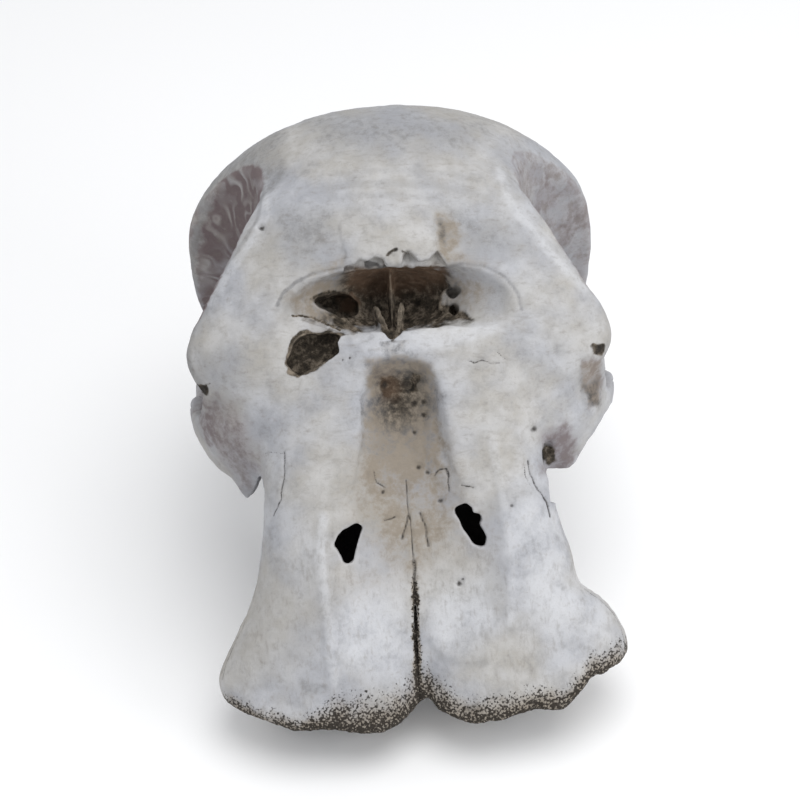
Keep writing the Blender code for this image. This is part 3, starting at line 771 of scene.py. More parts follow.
SLIT = in_mm((-189, 779), (-166, 777), (-138, 767), (-118, 757), (-121, 751), (-140, 759), (-168, 770))
BOSS_EDGE = in_mm(
    (-100, 838), (-92, 852), (-84, 864), (-70, 868), (-60, 876), (-46, 872), (-32, 879), (-16, 874),
    (-10, 856), (2, 851), (12, 857), (16, 878), (26, 886), (38, 876), (46, 865), (62, 868), (72, 878),
    (80, 882), (86, 868), (97, 850), (104, 838), (90, 815), (-90, 815),
)
ORBIT_RIMS = {
    "left": ((0.376, 0.612, -0.195), (0.368, 0.643, -0.137), (0.353, 0.682, -0.085)),
    "right": ((-0.371, 0.596, -0.195), (-0.360, 0.623, -0.137), (-0.348, 0.660, -0.085)),
}
CHEEK_FOOT = in_mm(
    (256, 475), (303, 473), (315, 482), (328, 501), (342, 522), (356, 537), (369, 556), (380, 572),
    (386, 578), (394, 589), (410, 589), (410, 517), (355, 407), (256, 413),
)
SPUR_GAP = in_mm(
    (-267, 503), (-264, 451), (-269, 422), (-312, 420), (-301, 455), (-290, 463), (-281, 477), (-274, 490),
)
CLEFT = in_mm((3, 330), (2, 281), (0, 232), (-2, 184), (-3, 134), (2, 70))
CLEFT_HALF_WIDTHS = (0.0024, 0.0050)
RIM_HALF_SIZES = (0.014, 0.009)
CLEAR = 0.06


def ribbon(line, half_widths):
    """The outline of a thin strip along a line, from one half-width to another."""
    count = len(line) - 1
    start, end = half_widths
    right, left = [], []
    for k, (x, s) in enumerate(line):
        reach = start + (end - start) * k / count
        right.append((x + reach, s))
        left.append((x - reach, s))
    return right + left[::-1]


def fine_bones():
    """The septum, the plates at its foot, the scraps under the nasal boss, and the eye sockets' thin rims."""
    septum = slope_loft(
        "septum",
        [
            # s, left x, right x, front h, widest h, back h, power
            (0.730, -0.016, -0.006, -0.075, -0.110, -0.170, 2.2),
            (0.766, -0.013, -0.004, -0.068, -0.110, -0.170, 2.2),
            (0.800, -0.012, -0.003, -0.074, -0.110, -0.170, 2.2),
            (0.850, -0.014, -0.002, -0.050, -0.100, -0.170, 2.2),
        ],
    )
    plates = [
        ball("plate_right", on_face(-0.029, 0.759, -0.050), (0.0055, 0.034, 0.030), (50, 0, 27)),
        ball("plate_left", on_face(0.006, 0.762, -0.050), (0.0055, 0.034, 0.030), (50, 0, -12)),
    ]
    scraps = [
        ball("scrap", on_face(-0.003, 0.868, -0.004), (0.011, 0.008, 0.010)),
        ball("scrap_side", on_face(-0.046, 0.866, -0.006), (0.014, 0.008, 0.010)),
        ball("sinus_bar", on_face(-0.086, 0.800, -0.104), (0.012, 0.016, 0.020), (50, 0, 20)),
        ball("left_bar", on_face(0.088, 0.796, -0.086), (0.007, 0.024, 0.018), (50, 0, -30)),
    ]
    rims = [
        bar(f"orbit_rim_{name}", [(on_face(*point), *RIM_HALF_SIZES) for point in points])
        for name, points in ORBIT_RIMS.items()
    ]
    return [septum] + plates + scraps + rims


def fine_breaks():
    """The cutters, in two gathered sets in which none touches another."""
    outer = [face_prism(f"ragged_{name}", edge, -0.10, CLEAR) for name, edge in RAGGED_HOLES.items()]
    outer += [
        face_prism("window", WINDOW, -0.058, CLEAR),
        face_prism("nose_rim", NOSE_RIM, -0.040, CLEAR),
        face_prism("cleft", ribbon(CLEFT, CLEFT_HALF_WIDTHS), -0.040, CLEAR),
        face_prism("boss_edge", BOSS_EDGE, -0.030, CLEAR),
        face_prism("cheek_foot", CHEEK_FOOT, -0.360, -0.030),
        face_prism("spur_gap", SPUR_GAP, -0.300, -0.040),
    ]
    inner = [
        face_prism("sinus", SINUS, -0.160, 0.00),
        face_prism("slit", SLIT, -0.050, CLEAR),
        ball("nose_cell_upper", on_face(0.106, 0.809, -0.070), (0.014, 0.010, 0.050), (40, 0, 0)),
        ball("nose_cell_lower", on_face(0.105, 0.778, -0.070), (0.010, 0.012, 0.050), (40, 0, 0)),
    ]
    return gathered("outer_breaks", outer), gathered("inner_breaks", inner)


def fine_skin():
    body = softened(gathered("skin", [fused_form()] + fine_bones()), FINE_VOXEL, SKIN_ROUNDS)
    for cutters in fine_breaks():
        combined(body, cutters, "DIFFERENCE")
    return softened(body, FINE_VOXEL, BREAK_ROUNDS)


# Weathering: the skin is pushed out and in by numbers worked out for all of its points at once. The marks
# that go with them are kept on the mesh, and tell the bone's material where soil, stain and wear lie, and
# where shade and highlights are painted into its colour.
NOISE_TABLE = 4096
WEAR_SIZES = (0.060, 0.024, 0.011, 0.0065)
MARKS = (
    "soil", "tan", "grey", "mauve", "pale", "rust", "black",
    "temple", "streak", "hollow", "edge", "crack", "porous",
)
EYE_UP_THE_FACE = 0.589
EYE_DISTANCE = 3.383
CRACK_REACH = 0.0045
CRACK_FULL = 4.0
PIT_FULL = 4.4
PIT_FADE = 1.9
LIP_EDGE = 0.021
RIGHT_LIP_EDGE = 0.030
LEFT_LIP_EDGE = 0.012
CLOSE_ROUNDS = 10
BROAD_ROUNDS = 60
FULL_HOLLOW = 0.008
FULL_EDGE = 0.0016
FAN_MIDDLE = (0.20, 0.78)
CRACK_LINES = (
    # half-width, depth, points of x and s
    (0.0024, 0.0020, in_mm((-3, 476), (-2, 436), (1, 401), (2, 356), (3, 326))),
    (0.0036, 0.0040, CLEFT),
    (0.0030, 0.0030, in_mm((-2, 412), (-15, 371))),
    (0.0030, 0.0030, in_mm((20, 415), (27, 390), (30, 356))),
    (0.0022, 0.0024, in_mm((-45, 405), (-25, 411))),
    (0.0022, 0.0024, in_mm((95, 459), (118, 454))),
    (0.0022, 0.0026, in_mm((217, 496), (220, 472), (230, 449), (247, 421), (251, 394))),
    (0.0014, 0.0016, in_mm((209, 491), (211, 469), (219, 451))),
    (0.0018, 0.0022, in_mm((-216, 539), (-216, 510), (-227, 459), (-243, 427))),
    (0.0014, 0.0012, in_mm((-252, 538), (-239, 540), (-217, 535))),
    (0.0019, 0.0020, in_mm((122, 681), (132, 675), (148, 679), (164, 673), (178, 672))),
    (0.0014, 0.0010, in_mm((176, 692), (189, 679))),
    (0.0022, 0.0022, in_mm((48, 479), (58, 490), (69, 491), (73, 476), (72, 451))),
    (0.0020, 0.0020, in_mm((-57, 493), (-55, 475), (-40, 464))),
)
PITS = (
    # x, s, radius, depth
    (-0.027, 0.644, 0.011, 0.006), (0.012, 0.644, 0.010, 0.006), (0.021, 0.610, 0.0097, 0.003),
    (0.038, 0.612, 0.0082, 0.003), (0.037, 0.589, 0.0082, 0.003), (0.018, 0.559, 0.0065, 0.002),
    (0.022, 0.497, 0.0082, 0.003), (0.036, 0.487, 0.0065, 0.003), (0.056, 0.435, 0.0082, 0.003),
    (-0.044, 0.457, 0.0065, 0.002), (0.081, 0.286, 0.0082, 0.004), (0.088, 0.292, 0.0048, 0.003),
    (0.183, 0.418, 0.0065, 0.002), (-0.100, 0.695, 0.0040, 0.002), (-0.089, 0.698, 0.0040, 0.002),
    (-0.231, 0.939, 0.0082, 0.004), (0.234, 0.552, 0.0097, 0.003),
)
BOSS_TOP = in_mm(
    (-86, 865), (-86, 913), (-76, 960), (-31, 966), (27, 963), (82, 950), (80, 902), (73, 867), (65, 850),
)
BROW_NOTCHES = {
    "left": in_mm((343, 696), (364, 693), (363, 673), (347, 674)),
    "right": in_mm((-358, 669), (-342, 664), (-345, 650), (-355, 651)),
}
AREAS = (
    # mark, softness, strength, outline of x and s
    # the boss of the nose and the brow beside it
    ("pale", 0.008, 0.12, BOSS_TOP),
    ("tan", 0.012, 0.9, in_mm((85, 952), (109, 938), (132, 905), (120, 884), (104, 853), (78, 872))),
    ("soil", 0.012, 0.4, in_mm((85, 943), (102, 931), (107, 906), (95, 882), (82, 894))),
    ("tan", 0.016, 0.8, in_mm((-150, 852), (-120, 872), (-88, 880), (-80, 856), (-110, 850))),
    ("tan", 0.016, 0.7, in_mm((88, 856), (92, 878), (130, 872), (165, 850), (130, 846))),
    # painted black shade under the broken lower edge of the nasal boss
    ("black", 0.003, 0.6, in_mm((-55, 870), (-48, 875), (-23, 866), (-2, 860), (-3, 853), (-52, 857))),
    ("grey", 0.045, 0.7, in_mm((-203, 974), (-97, 971), (-89, 872), (-166, 866), (-231, 895))),
    ("grey", 0.018, 0.8, in_mm((-161, 935), (-136, 939), (-125, 885), (-156, 876))),
    ("grey", 0.050, 0.8, in_mm((98, 955), (194, 931), (226, 867), (137, 863))),
    # the nose opening and the sill below it
    ("pale", 0.012, 0.50, in_mm(
        (-85, 739), (-45, 740), (-27, 755), (-11, 722), (12, 745), (58, 749), (138, 751), (183, 748),
        (178, 727), (127, 709), (55, 700), (1, 691), (-42, 702), (-77, 717),
    )),
    ("tan", 0.020, 0.95, in_mm((-194, 804), (-146, 837), (-86, 854), (-70, 796), (-84, 753), (-154, 763))),
    ("tan", 0.020, 0.6, in_mm((86, 843), (144, 836), (169, 808), (148, 761), (86, 765))),
    ("soil", 0.012, 1.0, in_mm(
        (-79, 776), (-67, 814), (-75, 862), (-24, 856), (21, 858), (72, 853), (88, 822), (82, 787),
        (116, 767), (133, 753), (76, 748), (19, 745), (-11, 723), (-34, 753), (-84, 747), (-119, 759),
        (-111, 772),
    )),
    ("soil", 0.006, 1.0, in_mm((-152, 805), (-122, 817), (-80, 815), (-67, 796), (-82, 778), (-109, 781))),
    ("rust", 0.016, 0.9, in_mm(
        (-81, 857), (-66, 871), (72, 859), (96, 843), (80, 815), (9, 807), (-66, 814), (-86, 829),
    )),
    ("rust", 0.006, 1.0, in_mm((-102, 809), (-77, 811), (-67, 793), (-79, 776), (-103, 781))),
    ("soil", 0.030, 0.85, in_mm(
        (-87, 865), (86, 851), (102, 821), (89, 790), (102, 762), (5, 753), (-84, 756), (-143, 767),
        (-102, 795), (-100, 834),
    )),
    ("soil", 0.010, 0.35, in_mm(
        (-39, 736), (-24, 740), (-11, 718), (8, 738), (25, 732), (9, 702), (-13, 691), (-33, 705),
    )),
    ("grey", 0.020, 0.9, in_mm(
        (-206, 796), (-167, 838), (-86, 854), (-98, 816), (-170, 803), (-118, 767), (-171, 781),
    )),
    ("grey", 0.020, 0.4, in_mm((91, 840), (153, 839), (204, 806), (210, 764), (148, 758), (95, 768))),
    # the trough between the sockets
    ("tan", 0.014, 0.95, in_mm(
        (-59, 689), (-7, 696), (56, 682), (62, 610), (65, 539), (71, 478), (-13, 458), (-82, 470), (-72, 548),
        (-64, 618),
    )),
    ("tan", 0.060, 0.85, in_mm(
        (-75, 548), (-6, 579), (70, 539), (89, 448), (89, 386), (32, 328), (-2, 303), (-48, 333), (-95, 407),
        (-94, 478),
    )),
    ("grey", 0.030, 0.5, in_mm(
        (-61, 668), (-3, 682), (56, 660), (66, 539), (76, 467), (-15, 437), (-89, 442), (-71, 565),
    )),
    ("soil", 0.060, 0.30, in_mm((-56, 620), (50, 620), (56, 500), (-60, 500))),
    ("soil", 0.060, 0.62, in_mm(
        (-56, 678), (-8, 686), (50, 671), (54, 620), (33, 568), (-11, 551), (-49, 573), (-60, 627),
    )),
    ("soil", 0.012, 0.85, in_mm((-40, 663), (-7, 668), (1, 635), (-21, 619), (-38, 631))),
    ("soil", 0.010, 0.85, in_mm((14, 663), (33, 658), (33, 630), (15, 624))),
    ("rust", 0.018, 0.6, in_mm((-46, 674), (-10, 679), (-3, 629), (-35, 620))),
    # the dome
    ("grey", 0.040, 0.5, in_mm(
        (214, 1102), (282, 1050), (330, 976), (348, 895), (345, 838), (319, 941), (278, 997), (228, 1044),
    )),
    ("grey", 0.030, 1.0, in_mm(
        (-327, 981), (-293, 1038), (-244, 1092), (-176, 1127), (-188, 1074), (-243, 1046), (-284, 1020),
        (-319, 969),
    )),
    ("grey", 0.060, 0.8, in_mm((-166, 1137), (29, 1139), (205, 1106), (148, 1049), (-100, 1065))),
    ("grey", 0.016, 0.9, in_mm(
        (-364, 815), (-364, 904), (-339, 984), (-313, 1007), (-333, 952), (-345, 903), (-345, 814),
    )),
    # the cheeks and the rims of the eye sockets
    # painted black shade, over soil, in the brow's notches and in one more notch
    ("black", 0.004, 0.6, BROW_NOTCHES["left"]),
    ("soil", 0.004, 0.9, BROW_NOTCHES["left"]),
    ("black", 0.004, 0.6, BROW_NOTCHES["right"]),
    ("soil", 0.004, 1.0, BROW_NOTCHES["right"]),
    ("black", 0.008, 0.5, in_mm((246, 517), (262, 514), (263, 494), (247, 494))),
    ("soil", 0.006, 1.0, in_mm((247, 520), (264, 517), (264, 493), (247, 492))),
    ("grey", 0.010, 0.6, in_mm((279, 703), (297, 699), (299, 681), (281, 678))),
    ("grey", 0.030, 0.5, in_mm((-359, 726), (-281, 730), (-253, 666), (-304, 647), (-352, 672))),
    ("mauve", 0.030, 0.65, in_mm(
        (-357, 644), (-330, 653), (-296, 633), (-273, 578), (-259, 515), (-285, 465), (-321, 519),
        (-356, 574),
    )),
    ("mauve", 0.012, 0.75, in_mm(
        (-356, 640), (-329, 649), (-320, 616), (-326, 574), (-345, 558), (-358, 580),
    )),
    ("mauve", 0.010, 0.45, in_mm((320, 670), (358, 672), (361, 636), (352, 588), (332, 579), (322, 612))),
    ("tan", 0.008, 0.9, in_mm((323, 661), (355, 663), (356, 627), (349, 589), (332, 584), (324, 620))),
    ("soil", 0.014, 0.45, in_mm((326, 629), (353, 631), (349, 589), (332, 584), (326, 602))),
    ("mauve", 0.020, 0.9, in_mm((246, 545), (288, 560), (305, 515), (290, 471), (242, 474))),
    ("pale", 0.004, 0.5, in_mm((333, 586), (345, 584), (344, 571), (333, 572))),
    ("pale", 0.004, 0.4, in_mm((267, 564), (281, 563), (281, 552), (268, 553))),
    # the tusk sockets and their lips
    ("tan", 0.050, 0.35, in_mm((-154, 336), (-20, 349), (-5, 259), (-133, 258))),
    ("tan", 0.050, 0.35, in_mm((41, 469), (145, 427), (156, 320), (65, 290), (25, 364))),
    ("grey", 0.012, 0.7, in_mm((-219, 137), (-168, 123), (-157, 105), (-205, 104))),
    # painted shade on the outer side of the right socket, which faces away from the light
    ("grey", 0.012, 0.34, in_mm(
        (-266, 346), (-169, 362), (-163, 233), (-160, 108), (-319, 118), (-342, 173), (-293, 259),
    )),
    # painted shade on the inner wall beside the left socket's ridge
    ("grey", 0.014, 0.45, in_mm((120, 429), (160, 444), (170, 319), (160, 213), (134, 193), (125, 286))),
    ("soil", 0.020, 0.45, in_mm(
        (-349, 78), (-217, 45), (-138, 31), (-39, 55), (-38, 72), (-137, 50), (-216, 59), (-321, 90),
    )),
    ("soil", 0.020, 0.45, in_mm(
        (33, 64), (138, 43), (246, 58), (301, 79), (302, 97), (247, 72), (139, 61), (43, 81),
    )),
    ("pale", 0.045, 0.7, in_mm((-122, 293), (-15, 295), (-16, 188), (-43, 133), (-131, 146), (-157, 215))),
    ("pale", 0.045, 0.7, in_mm((34, 301), (137, 303), (149, 214), (92, 155), (22, 168), (17, 240))),
    # partly painted light: the outer side of the left socket, which the window lights, is made paler
    ("pale", 0.060, 0.55, in_mm(
        (174, 461), (247, 421), (280, 312), (328, 229), (359, 165), (251, 136), (178, 247),
    )),
)
SOFT_LINES = (
    # mark, half-width, strength, depth, points of x and s
    # painted shadow, in the soil's colour, around the curled nub under the nasal boss
    ("soil", 0.0024, 0.6, 0.0, in_mm((-15, 859), (-14, 871), (-6, 881), (6, 886))),
    ("soil", 0.0016, 0.5, 0.0, in_mm((17, 883), (27, 876), (30, 863))),
    ("grey", 0.0026, 0.9, 0.0026, in_mm(
        (-212, 800), (-199, 820), (-174, 840), (-145, 851), (-113, 856), (-75, 859),
    )),
    ("grey", 0.0024, 0.7, 0.0018, in_mm(
        (82, 844), (122, 852), (162, 846), (196, 826), (216, 796), (223, 764),
    )),
    ("soil", 0.0016, 0.8, 0.0024, in_mm((-185, 780), (-153, 775), (-128, 763), (-102, 749))),
    ("grey", 0.0018, 0.9, 0.0014, in_mm((-166, 808), (-156, 795), (-132, 781), (-100, 770))),
    ("grey", 0.0018, 0.8, 0.0012, in_mm((-172, 819), (-154, 830), (-125, 837), (-93, 833))),
    # a line of painted shade beside the right temporal ridge
    ("grey", 0.0030, 0.5, 0.0, in_mm(
        (-230, 1027), (-225, 1002), (-234, 958), (-256, 927), (-287, 888), (-320, 844),
    )),
    # a soft line of painted shade at the inner edge of the left cheek's mauve facet
    ("grey", 0.0040, 0.5, 0.0008, in_mm((325, 665), (319, 630), (324, 590))),
    # painted highlights along the crests of the two temporal ridges
    ("pale", 0.0060, 0.5, -0.0015, in_mm(
        (-220, 1019), (-220, 961), (-242, 926), (-271, 889), (-304, 847), (-329, 811),
    )),
    ("pale", 0.0070, 0.4, -0.0010, in_mm(
        (197, 1029), (206, 983), (218, 945), (254, 895), (290, 847), (335, 794),
    )),
    ("grey", 0.0060, 0.35, 0.0007, in_mm((-140, 996), (-68, 1006), (21, 1004), (100, 992), (179, 966))),
    ("grey", 0.0050, 0.28, 0.0006, in_mm((-102, 1026), (-13, 1029), (75, 1022), (146, 1005))),
    ("grey", 0.0045, 0.30, 0.0007, in_mm((-135, 960), (-105, 980), (-65, 986), (20, 981), (93, 969))),
    # the painted shadow edge of a soft crease on the left socket
    ("grey", 0.0060, 0.40, 0.0016, in_mm((19, 186), (29, 168), (49, 150), (84, 139), (116, 141))),
    ("mauve", 0.0045, 0.6, 0.0014, in_mm(
        (-329, 649), (-321, 625), (-321, 599), (-330, 571), (-345, 559), (-353, 571),
    )),
    # painted highlights along the crests of the ridges down the two sockets
    ("pale", 0.0080, 0.5, -0.0035, in_mm((-153, 419), (-163, 340), (-156, 233), (-152, 126))),
    ("pale", 0.0080, 0.4, -0.0030, in_mm((155, 533), (168, 426), (179, 318), (167, 212))),
    ("tan", 0.0060, 0.0, 0.0040, in_mm((-63, 627), (-68, 547), (-87, 477), (-104, 434))),
    ("tan", 0.0060, 0.0, 0.0030, in_mm((53, 611), (59, 539), (77, 485))),
)
DOME_EDGE = in_mm((-365, 811), (-366, 904), (-341, 984), (-309, 1018), (-327, 951), (-343, 899), (-345, 810))
BACK_LINES = (
    # half-width, rise, points of the distance from the middle and the height, on the back
    (0.014, 0.0045, in_mm((0, 800), (100, 795), (200, 755), (285, 675), (325, 570), (318, 470))),
    (0.010, -0.0030, in_mm((60, 700), (66, 620), (54, 545))),
    (0.010, 0.0035, in_mm((50, 470), (130, 490), (220, 470), (280, 410))),
    (0.006, -0.0030, in_mm((110, 330), (165, 395), (225, 430), (290, 450))),
)
PIT_WALL = (
    # height and Y of the back wall beside the pit
    (0.484, 0.4515), (0.524, 0.4575), (0.564, 0.4595), (0.604, 0.4605), (0.644, 0.4565), (0.684, 0.4495),
    (0.724, 0.4365), (0.764, 0.4175),
)
SIDE_CRACKS = (
    # half-width, depth, points of y and z, on both sides
    (0.0024, 0.0024, in_mm((-20, 448), (10, 418), (62, 404), (95, 376), (150, 366))),
    (0.0020, 0.0018, in_mm((-470, 175), (-405, 235), (-345, 300), (-290, 372))),
    (0.0018, 0.0016, in_mm((-395, 150), (-350, 205), (-290, 262))),
    (0.0020, 0.0018, in_mm((-150, 330), (-120, 262), (-60, 205), (-50, 150))),
    (0.0020, 0.0018, in_mm((60, 290), (105, 232), (120, 150))),
)


def value_noise(points, size, seed):
    """Smooth random values from -1 to 1 at the points, on a lattice with cells of the given size."""
    table = np.random.default_rng(seed).uniform(-1, 1, NOISE_TABLE)
    cell = points / size + 1000.0
    low = np.floor(cell).astype(np.int64)
    t = cell - low
    t = t * t * (3 - 2 * t)
    total = np.zeros(len(points))
    for corner in range(8):
        step = np.array([(corner >> k) & 1 for k in range(3)])
        share = np.prod(np.where(step, t, 1 - t), axis=1)
        spot = low + step
        index = (spot[:, 0] * 73856093) ^ (spot[:, 1] * 19349663) ^ (spot[:, 2] * 83492791)
        total += share * table[index % NOISE_TABLE]
    return total


def ramp(values, low, high):
    """0 below low, 1 above high, and an even ease between them."""
    t = np.clip((values - low) / (high - low), 0, 1)
    return t * t * (3 - 2 * t)


def follow(values, line):
    """The second coordinate of a line where its first one has the given values."""
    first, second = zip(*sorted(line))
    return np.interp(values, first, second)


def near_line(x, s, points):
    """The distance from each place to a line through the points."""
    best = np.full(len(x), np.inf)
    for (x0, s0), (x1, s1) in zip(points, points[1:]):
        dx, ds = x1 - x0, s1 - s0
        t = np.clip(((x - x0) * dx + (s - s0) * ds) / (dx * dx + ds * ds), 0, 1)
        best = np.minimum(best, np.hypot(x - x0 - t * dx, s - s0 - t * ds))
    return best


def patch(x, s, edge, soft):
    """1 inside an outline and 0 outside it, with a soft edge."""
    crossed = np.zeros(len(x), dtype=bool)
    for (x0, s0), (x1, s1) in zip(edge, edge[1:] + edge[:1]):
        if s0 != s1:
            spans = (s0 > s) != (s1 > s)
            crossed ^= spans & (x < x0 + (s - s0) * (x1 - x0) / (s1 - s0))
    near = near_line(x, s, edge + edge[:1])
    return ramp(np.where(crossed, near, -near), -soft, soft)


def read(mesh):
    """The mesh's points, their normals and the ends of its edges."""
    places = np.empty(len(mesh.vertices) * 3)
    mesh.vertices.foreach_get("co", places)
    normals = np.empty(len(mesh.vertices) * 3)
    mesh.vertex_normals.foreach_get("vector", normals)
    ends = np.empty(len(mesh.edges) * 2, dtype=np.int32)
    mesh.edges.foreach_get("vertices", ends)
    return places.reshape(-1, 3), normals.reshape(-1, 3), ends.reshape(-1, 2)


class Skin:
    """The skin's points, where they lie on the face, and the marks and the push worked out for them.

    x and s are a point's place on the face as it is seen squarely from in front, and h is its height out of
    the face. The wide and the fine x and s are the same place, shaken by a coarse and by a fine noise.
    """

    def __init__(self, mesh):
        self.places, self.normals, self.ends = read(mesh)
        from_foot = self.places - np.array(FACE_FOOT)
        self.h = from_foot @ np.array(FACE_OUT)
        nearness = EYE_DISTANCE / (EYE_DISTANCE - self.h)
        self.x = self.places[:, 0] * nearness
        self.s = EYE_UP_THE_FACE + (from_foot @ np.array(AXIS_UP) - EYE_UP_THE_FACE) * nearness
        self.turned = self.normals @ np.array(FACE_OUT)
        self.facing = ramp(self.turned, 0.15, 0.5) * ramp(self.h, -0.14, -0.09)
        depth_limit = np.where(np.abs(self.x) > 0.27, -0.46, -0.36)
        self.front = ramp(self.turned, -0.35, 0.0) * ramp(self.h - depth_limit, 0.0, 0.06)
        self.lumps, self.ripple, self.rough, self.granules = (
            self.noise(size, k + 1) for k, size in enumerate(WEAR_SIZES)
        )
        self.wide_x = self.x + 0.006 * self.ripple + 0.004 * self.rough + 0.002 * self.granules
        self.wide_s = self.s + 0.006 * self.noise(0.024, 7) + 0.004 * self.noise(0.011, 8)
        self.fine_x = self.x + 0.0015 * self.rough
        self.fine_s = self.s + 0.0015 * self.granules
        self.marks = {name: np.zeros(len(self.x)) for name in MARKS}
        self.push = np.zeros(len(self.x))

    def noise(self, size, seed):
        return value_noise(self.places, size, seed)

    def lay(self, name, values):
        """Lays a mark where it is stronger than what is there already."""
        self.marks[name] = np.maximum(self.marks[name], values)

    def crack(self, near, half, depth, side, least):
        """A crack: near is the distance to its line, and side is 1 where the bone faces its way."""
        self.push -= depth * (1 - ramp(near, 0.0, CRACK_REACH)) * side
        self.lay("crack", np.where(side > least, CRACK_FULL - near / half, 0.0))

    def hollowness(self, rounds):
        """How far each point lies under the mean of its surroundings, which grow with the rounds."""
        count = len(self.places)
        first, second = self.ends[:, 0], self.ends[:, 1]
        degree = np.bincount(self.ends.ravel(), minlength=count)
        mean = self.places.copy()
        for _ in range(rounds):
            total = np.empty_like(mean)
            for axis in range(3):
                values = mean[:, axis]
                total[:, axis] = np.bincount(first, values[second], count)
                total[:, axis] += np.bincount(second, values[first], count)
            mean = 0.5 * mean + 0.5 * total / degree[:, None]
        return np.einsum("ij,ij->i", mean - self.places, self.normals)


def break_rims(skin):
    """The sockets' lips and the sides of the cleft, where the spongy inside of the bone shows."""
    x, s = skin.x, skin.s
    thick = LIP_EDGE + RIGHT_LIP_EDGE * (1 - ramp(np.abs(x + 0.070), 0.06, 0.15))
    thick += LEFT_LIP_EDGE * ramp(x, 0.01, 0.05)
    above_lip = s - follow(x, LIP_LINE) + 0.006 * skin.rough + 0.006 * skin.ripple
    rim = np.clip(1.1 - above_lip / (1.6 * thick), 0, 1) * (s < 0.25)
    aside = np.abs(x - follow(s, [(up, across) for across, up in CLEFT])) + 0.003 * skin.granules
    beside = 1 - ramp(aside, 0.002, 0.010 + 0.06 * np.clip(0.2 - s, 0, 0.2))
    skin.lay("porous", np.maximum(rim, beside * (1 - ramp(s, 0.27, 0.32)) * skin.facing))


def stains_and_painted_light(skin):
    """The stains and soil on the face, areas of painted shade and light, and the bone's unevenness under
    them.
    """
    for name, soft, strength, edge in AREAS:
        skin.lay(name, strength * patch(skin.wide_x, skin.wide_s, edge, soft) * skin.front)
    skin.push += 0.0014 * skin.lumps + 0.0009 * skin.ripple + 0.0006 * skin.rough
    skin.push += skin.marks["porous"] * 0.0012 * skin.granules
    boss = patch(skin.wide_x, skin.wide_s, BOSS_TOP, 0.005) * skin.front
    skin.push += 0.0030 * boss
    skin.push += skin.marks["soil"] * 0.0014 * skin.rough + skin.marks["grey"] * 0.0005 * skin.granules


def score(skin):
    """Soft grooves and ridges, with painted highlights and painted shade on some, and the face's cracks and
    pits.
    """
    for name, half, strength, depth, points in SOFT_LINES:
        near = near_line(skin.fine_x, skin.fine_s, points)
        skin.push -= depth * (1 - ramp(near, 0.0, 2.2 * half)) * skin.front
        skin.lay(name, strength * (1 - ramp(near, 0.5 * half, 2.0 * half)) * skin.front)
    for half, depth, points in CRACK_LINES:
        skin.crack(near_line(skin.fine_x, skin.fine_s, points), half, depth, skin.facing, 0.1)
    for pit_x, pit_s, radius, depth in PITS:
        near = np.hypot(skin.fine_x - pit_x, skin.fine_s - pit_s)
        skin.push -= depth * (1 - ramp(near, radius * 0.4, radius * 1.3)) * skin.facing
        skin.lay("crack", np.where(skin.facing > 0.1, PIT_FULL - PIT_FADE * near / radius, 0.0))


def soil_and_shade_nose(skin):
    """Keeps the nose's soil to its inside and lays soil in the window, darker with depth as painted shade."""
    in_nose = (np.abs(skin.s - 0.80) < 0.075) & (np.abs(skin.x) < 0.25)
    full_depth = np.where(skin.s > 0.82, 0.045, 0.022)
    # Painted shade: the soil's dark grows with the depth inside the nose opening and the window.
    for name in ("soil", "rust"):
        skin.marks[name] *= np.where(in_nose, ramp(-skin.h, 0.003, full_depth), 1)
    window = ramp(patch(skin.wide_x, skin.wide_s, WINDOW, 0.014), 0.05, 0.45)
    skin.lay("soil", window * ramp(-skin.h, 0.002, 0.008) * skin.front)


def temple_reach(places):
    """How far each point lies from the middle of a temple's hollow: 1 is on the hollow's own wall."""
    row_x, row_y, row_z, row_across, row_along = np.array(TEMPLE_ROWS).T
    x, y, across, along = (
        np.interp(places[:, 2], row_z, values) for values in (row_x, row_y, row_across, row_along)
    )
    return np.hypot((np.abs(places[:, 0]) - x) / across, (places[:, 1] - y) / along)


def tint_temples(skin):
    """The temples' mauve walls behind the brow, with streaks that fan out, and the grey bone past them."""
    x = skin.x
    reach = temple_reach(skin.places)
    behind_brow = ramp(-skin.h, 0.060, 0.085) * ramp(skin.places[:, 2] + 0.02 * skin.lumps, 0.36, 0.56)
    hollow_wall = 1 - ramp(reach + 0.03 * skin.ripple + 0.02 * skin.rough, 1.06, 1.16)
    dome_edge = patch(skin.wide_x, skin.wide_s, DOME_EDGE, 0.010)
    temple = np.where(x < 0, 1.0, 0.42) * behind_brow * hollow_wall * (1 - 0.8 * dome_edge)
    past_rim = ramp(reach, 1.04, 1.14) * (1 - ramp(reach + 0.1 * skin.lumps, 1.4, 2.0)) * behind_brow
    skin.lay("grey", np.maximum(np.where(x < 0, 0.8, 0.4) * past_rim, dome_edge))
    skin.lay("tan", 0.7 * temple * (x > 0))
    out, up = np.abs(x) - FAN_MIDDLE[0], skin.s - FAN_MIDDLE[1]
    angle = np.arctan2(up, out) + 0.10 * skin.ripple
    fan = np.stack([angle * 0.12, np.hypot(up, out) * 0.15, x * 0.02], axis=1)
    streak = 0.5 * value_noise(fan, 0.014, 9) + 0.7 * value_noise(fan, 0.005, 10)
    skin.marks["temple"] = temple
    skin.marks["streak"] = streak * temple
    skin.push -= temple * 0.0012 * streak


